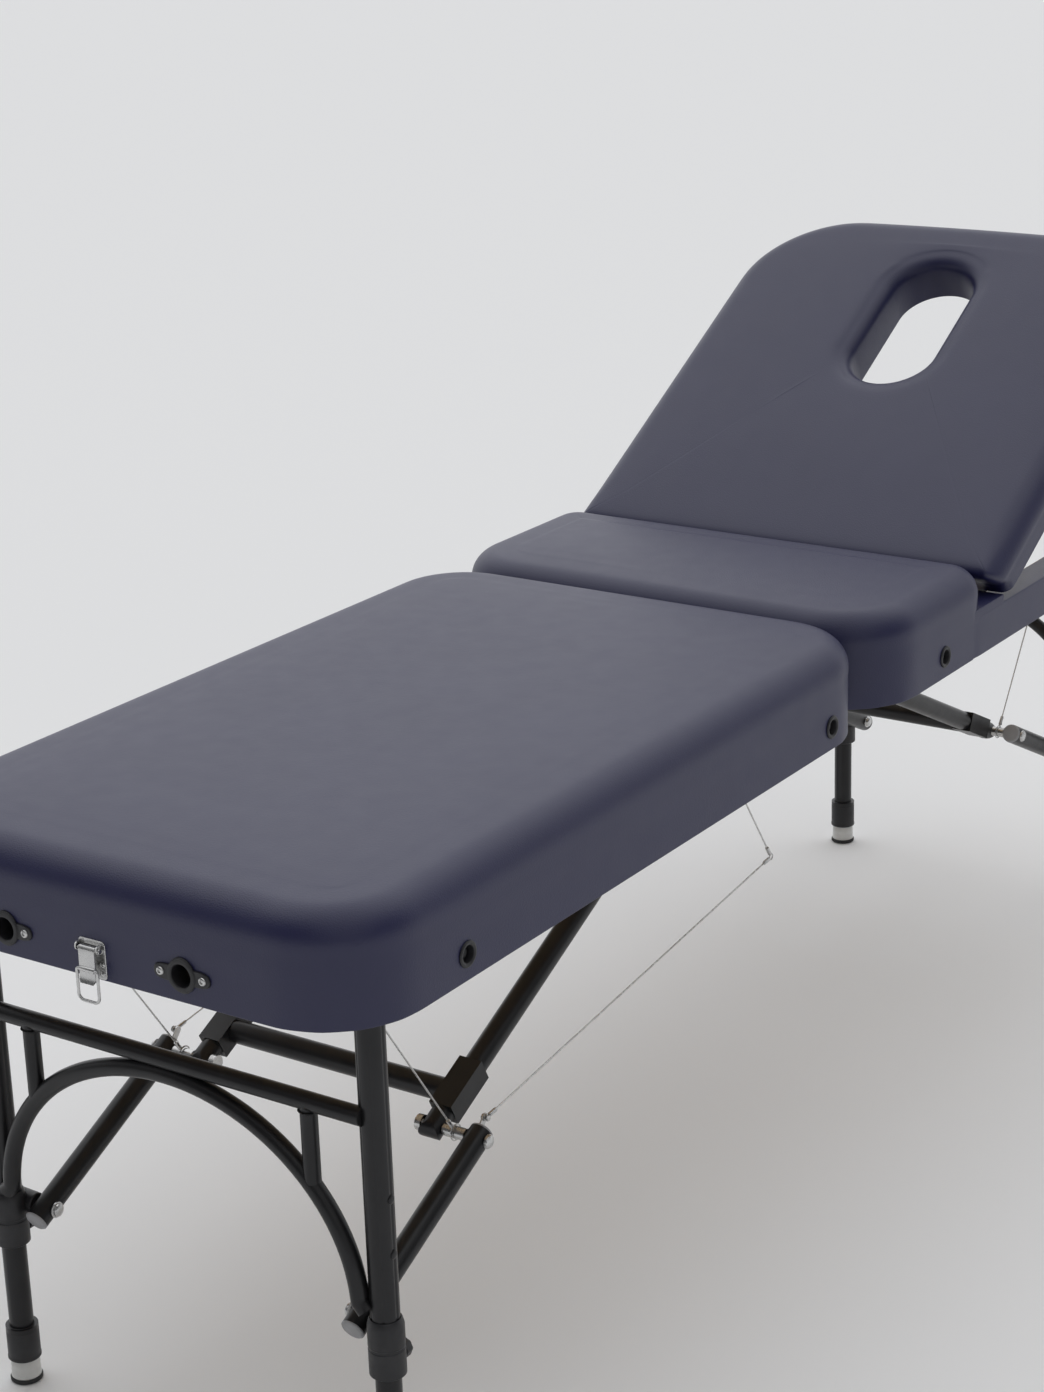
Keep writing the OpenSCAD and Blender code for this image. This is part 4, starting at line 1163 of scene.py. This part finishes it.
def ear_outline(angles, waist, ear_y, ear_r):
    """Flange outline with two ears along Y, as a distance in each direction."""
    points = []
    for angle in angles:
        c, s = math.cos(angle), math.sin(angle)
        reach = waist * (0.86 + 0.14 * abs(s) ** 2)
        inside = ear_r ** 2 - (ear_y * s) ** 2
        if inside > 0:
            reach = max(reach, ear_y * abs(c) + math.sqrt(inside))
        points.append(reach)
    count = len(points)
    return [sum(points[(k + d) % count] for d in (-2, -1, 0, 1, 2)) / 5 for k in range(count)]


def make_sockets():
    """Oval flanges with a round bore, each with a screw in either ear."""
    bore, flange, screw_dy = 11.2, 2.5, 24.5
    shape, screws = Shape(), Shape()
    angles = turns(96)
    outline = ear_outline(angles, 17.5, screw_dy, 8.5)
    for face, y0, z in socket_places():
        rings = []
        for place, grow in ((0, 0), (1.7, 0), (2.3, -0.4), (flange, -1.0)):
            rings.append([(face - place, y0 + (r + grow) * math.cos(a), z + (r + grow) * math.sin(a))
                          for a, r in zip(angles, outline)])
        for place, r in ((flange, bore + 5.2), (3.6, bore + 4.4), (4.0, bore + 2.6), (3.8, bore + 0.8),
                         (3.0, bore), (-66, bore), (-68, bore + 0.5), (-68, bore + 1.2), (0, bore + 1.2)):
            rings.append([(face - place, y0 + r * math.cos(a), z + r * math.sin(a)) for a in angles])
        shape.rings(rings, False, False)
        for dy in (-screw_dy, screw_dy):
            for profile in ([(0, 4), (0.5, 4.05), (1.3, 3.6), (1.8, 2.6), (1.9, 2.0)],
                            [(1.9, 2.0), (0.7, 1.9), (0.7, 0.1)]):
                screws.lathe((face - flange, y0 + dy, z), (-1, 0, 0), profile, 28, False)
    shape.build("face_cradle_flanges", BLACK, "foot_frame", "black_plastic", ["face_cradle_sockets"])
    screws.build("flange_screws", STEEL, "foot_frame", "bright_steel", ["socket_screws"])


def make_latch():
    pin = joint_mm("latch_lever_turn")
    bail_pin = joint_mm("latch_bail_swing")
    plate_low, plate_high = box_mm("latch_plate")
    lever_end = box_mm("latch_lever")[0].z
    middle_z = (plate_low.z + plate_high.z) / 2
    plate = Shape()
    back = plane_at((plate_high.x, 0, middle_z), (0, -1, 0), (0, 0, 1))
    plate.prism(round_rect(32, 38, 4), 1.5, back, 0.4)
    for across in (1, -1):
        outline = [(0, -5), (4, -4.2), (6.2, -2), (6.8, 0.5), (6.2, 3), (4, 4.6), (0, 5)]
        ear = plane_at((plate_high.x - 1.2, across * 12.5 + 1.0, pin.z), (-1, 0, 0), (0, 0, 1))
        plate.prism(outline, 2, ear, 0.3)
        plate.lathe((pin.x, across * 13.5, pin.z), (0, across, 0), [
            (0, 1.6), (0, 2.6), (0.8, 2.4), (1.1, 1.4), (1.1, 0.1)], 20, False)
        for z in (plate_low.z + 6, plate_low.z + 15):
            plate.lathe((plate_high.x - 1.5, across * 12.2, z), (-1, 0, 0), RIVET_HEAD, 20, False)
    plate.lathe((pin.x, -13, pin.z), (0, 1, 0), [(0, 1.5), (26, 1.5)], 20)
    plate.build("latch_plate_pressed", STEEL, "foot_frame", "bright_steel", ["latch_plate"])

    lever = Shape()
    path = [(pin.x + 1.2, pin.z - 2.6), (pin.x + 3.0, pin.z - 0.6), (pin.x + 2.6, pin.z + 2.0),
            (pin.x + 0.4, pin.z + 3.1), (pin.x - 2.0, pin.z + 2.4), (pin.x - 3.1, pin.z),
            (pin.x - 3.2, pin.z - 8), (pin.x - 3.4, pin.z - 16), (pin.x - 3.6, lever_end + 8),
            (pin.x - 4.4, lever_end + 3.5), (pin.x - 6.2, lever_end + 0.4)]
    half, thickness = 9.6, 0.7
    rings = []
    for i, (x, z) in enumerate(path):
        before, after = path[max(i - 1, 0)], path[min(i + 1, len(path) - 1)]
        tangent = Vector((after[0] - before[0], after[1] - before[1])).normalized()
        nx, nz = -tangent.y * thickness, tangent.x * thickness
        width = half - (2.2 if i == len(path) - 1 else 0)
        rings.append([Vector((x + nx, -width, z + nz)), Vector((x + nx, width, z + nz)),
                      Vector((x - nx, width, z - nz)), Vector((x - nx, -width, z - nz))])
    lever.rings(rings)
    lever.lathe((bail_pin.x + 1.0, -half + 0.4, bail_pin.z), (0, 1, 0), [
        (0, 1.4), (0, 2.6), (0.5, 2.8), (2 * half - 1.3, 2.8),
        (2 * half - 0.8, 2.6), (2 * half - 0.8, 1.4)], 24, False)
    lever.build("latch_lever_pressed", STEEL, "latch_lever", "bright_steel", ["latch_lever"], 50)

    bail = Shape()
    half_width, bend, wire = 12.5, 6.0, 1.5
    tight = bend / 3
    top, bottom = bail_pin.z, box_mm("latch_bail")[0].z + wire
    corners = ((1, top - tight), (-1, top - tight), (-1, bottom + bend), (1, bottom + bend))
    loop = []
    for quarter, (sy, z) in enumerate(corners):
        r = tight if quarter < 2 else bend
        for k in range(7):
            angle = math.pi / 2 * (quarter + k / 6)
            y = sy * (half_width - r) + r * math.cos(angle)
            loop.append((bail_pin.x, y, z + r * math.sin(angle)))
    bail.tube(loop, wire, 14, closed=True)
    bail.build("latch_bail_wire", STEEL, "latch_bail", "bright_steel", ["latch_bail"], 60)


def make_keeper():
    low, high = box_mm("latch_keeper")
    shape = Shape()
    middle_z = (low.z + high.z) / 2
    back = plane_at((low.x, 0, middle_z), (0, 1, 0), (0, 0, 1))
    shape.prism(round_rect(30, 26, 3.5), 1.5, back, 0.4)
    hook = plane_at((low.x + 1.0, 7, 553.5), (1, 0, 0), (0, 0, 1))
    outline = [(0, -2.5), (3.5, -2.5), (5, -1.5), (5, 2.3), (4.2, 2.5), (3.2, 0.6), (0, 0.4)]
    shape.prism(outline, 14, hook, 0.25)
    for y in (-10.5, 10.5):
        for z in (middle_z - 7, middle_z + 7):
            shape.lathe((low.x + 1.5, y, z), (1, 0, 0), RIVET_HEAD, 20, False)
    shape.build("latch_keeper_pressed", STEEL, "head_frame", "bright_steel", ["latch_keeper"])


def make_under_details():
    """Staples through the hems, and the screws of the centre hinges."""
    leaf_thickness = 2.5
    for half, sign in HALVES:
        low, high = box_mm(f"{half}_cover")
        staples = Shape()
        inset, pitch, half_staple, bend = 21.0, 34.0, 5, 0.5
        lean_cos, lean_sin = 0.94, 0.34
        z = low.z - 0.75
        outline = pad_plan(low.x, high.x, high.y, PAD_CORNER, PAD_CORNER, inset, (200, 90, 90, 30, 30))
        loop = [Vector((x, y)) for x, y in outline]
        travelled = pitch / 2
        for k, point in enumerate(loop):
            following = loop[(k + 1) % len(loop)]
            step = (following - point).length
            travelled += step
            if travelled < pitch or step < 1e-6:
                continue
            travelled -= pitch
            along = (following - point).normalized()
            lean = Vector((along.x * lean_cos - along.y * lean_sin,
                           along.x * lean_sin + along.y * lean_cos))
            a, b = point - lean * half_staple, point + lean * half_staple
            staples.tube([(a.x, a.y, z + 1.4), (a.x, a.y, z + 0.2),
                          (a.x + lean.x * bend, a.y + lean.y * bend, z),
                          (b.x - lean.x * bend, b.y - lean.y * bend, z),
                          (b.x, b.y, z + 0.2), (b.x, b.y, z + 1.4)], 0.32, 6)
        staples.build(f"{half}_hem_staples", STEEL, f"{half}_frame", "bright_steel")
        screws = Shape()
        leaf_z = box_mm("foot_cross_rails")[0].z - leaf_thickness
        for y in (-200, 200):
            for dx, dy in ((12, -13), (12, 13), (24, -13), (24, 13)):
                screws.lathe((sign * (5.5 + dx), y + dy, leaf_z), (0, 0, -1), [
                    (-0.2, 3.4), (0.3, 3.3), (0.9, 2.2), (1.0, 1.4), (0.4, 1.3), (0.4, 0.1)], 20, False)
        screws.build(f"{half}_hinge_screws", STEEL, f"{half}_frame", "bright_steel")


# ---------- CAD nodes that stay ----------

def paint(material, *nodes):
    for name in nodes:
        node = frame["nodes"][name]
        node.data.materials.clear()
        node.data.materials.append(material)


def paint_nodes():
    paint(TIMBER_LONG, "foot_side_rails", "head_side_rails")
    paint(TIMBER_CROSS, "foot_cross_rails", "head_cross_rails")
    paint(PLYWOOD, "foot_deck", "head_deck")
    paint(PLYWOOD_BACKREST, "backrest_board")
    paint(STEEL, "prop_racks", "prop_arms", "prop_bar", "backrest_hinge_bases", "backrest_hinge_leaves")
    for half, _ in HALVES:
        for name in ("pivot_rods", "centre_hinges", "knee_bolts"):
            paint(STEEL, f"{half}_{name}")
        for name in ("cross_bar", "lower_links", "upper_links", "link_cross_tube",
                     "left_inner_leg", "right_inner_leg"):
            paint(TUBE, f"{half}_{name}")


make_foot_pad()
make_fixed_pad()
make_rail_wrap()
make_deck_edge_wrap()
make_backrest()
for half, sign in HALVES:
    make_leg_frame(half)
    make_feet(half)
    make_knobs(half, sign)
    make_brace_details(half, sign)
make_cables()
make_side_plugs()
make_sockets()
make_latch()
make_keeper()
make_under_details()
paint_nodes()
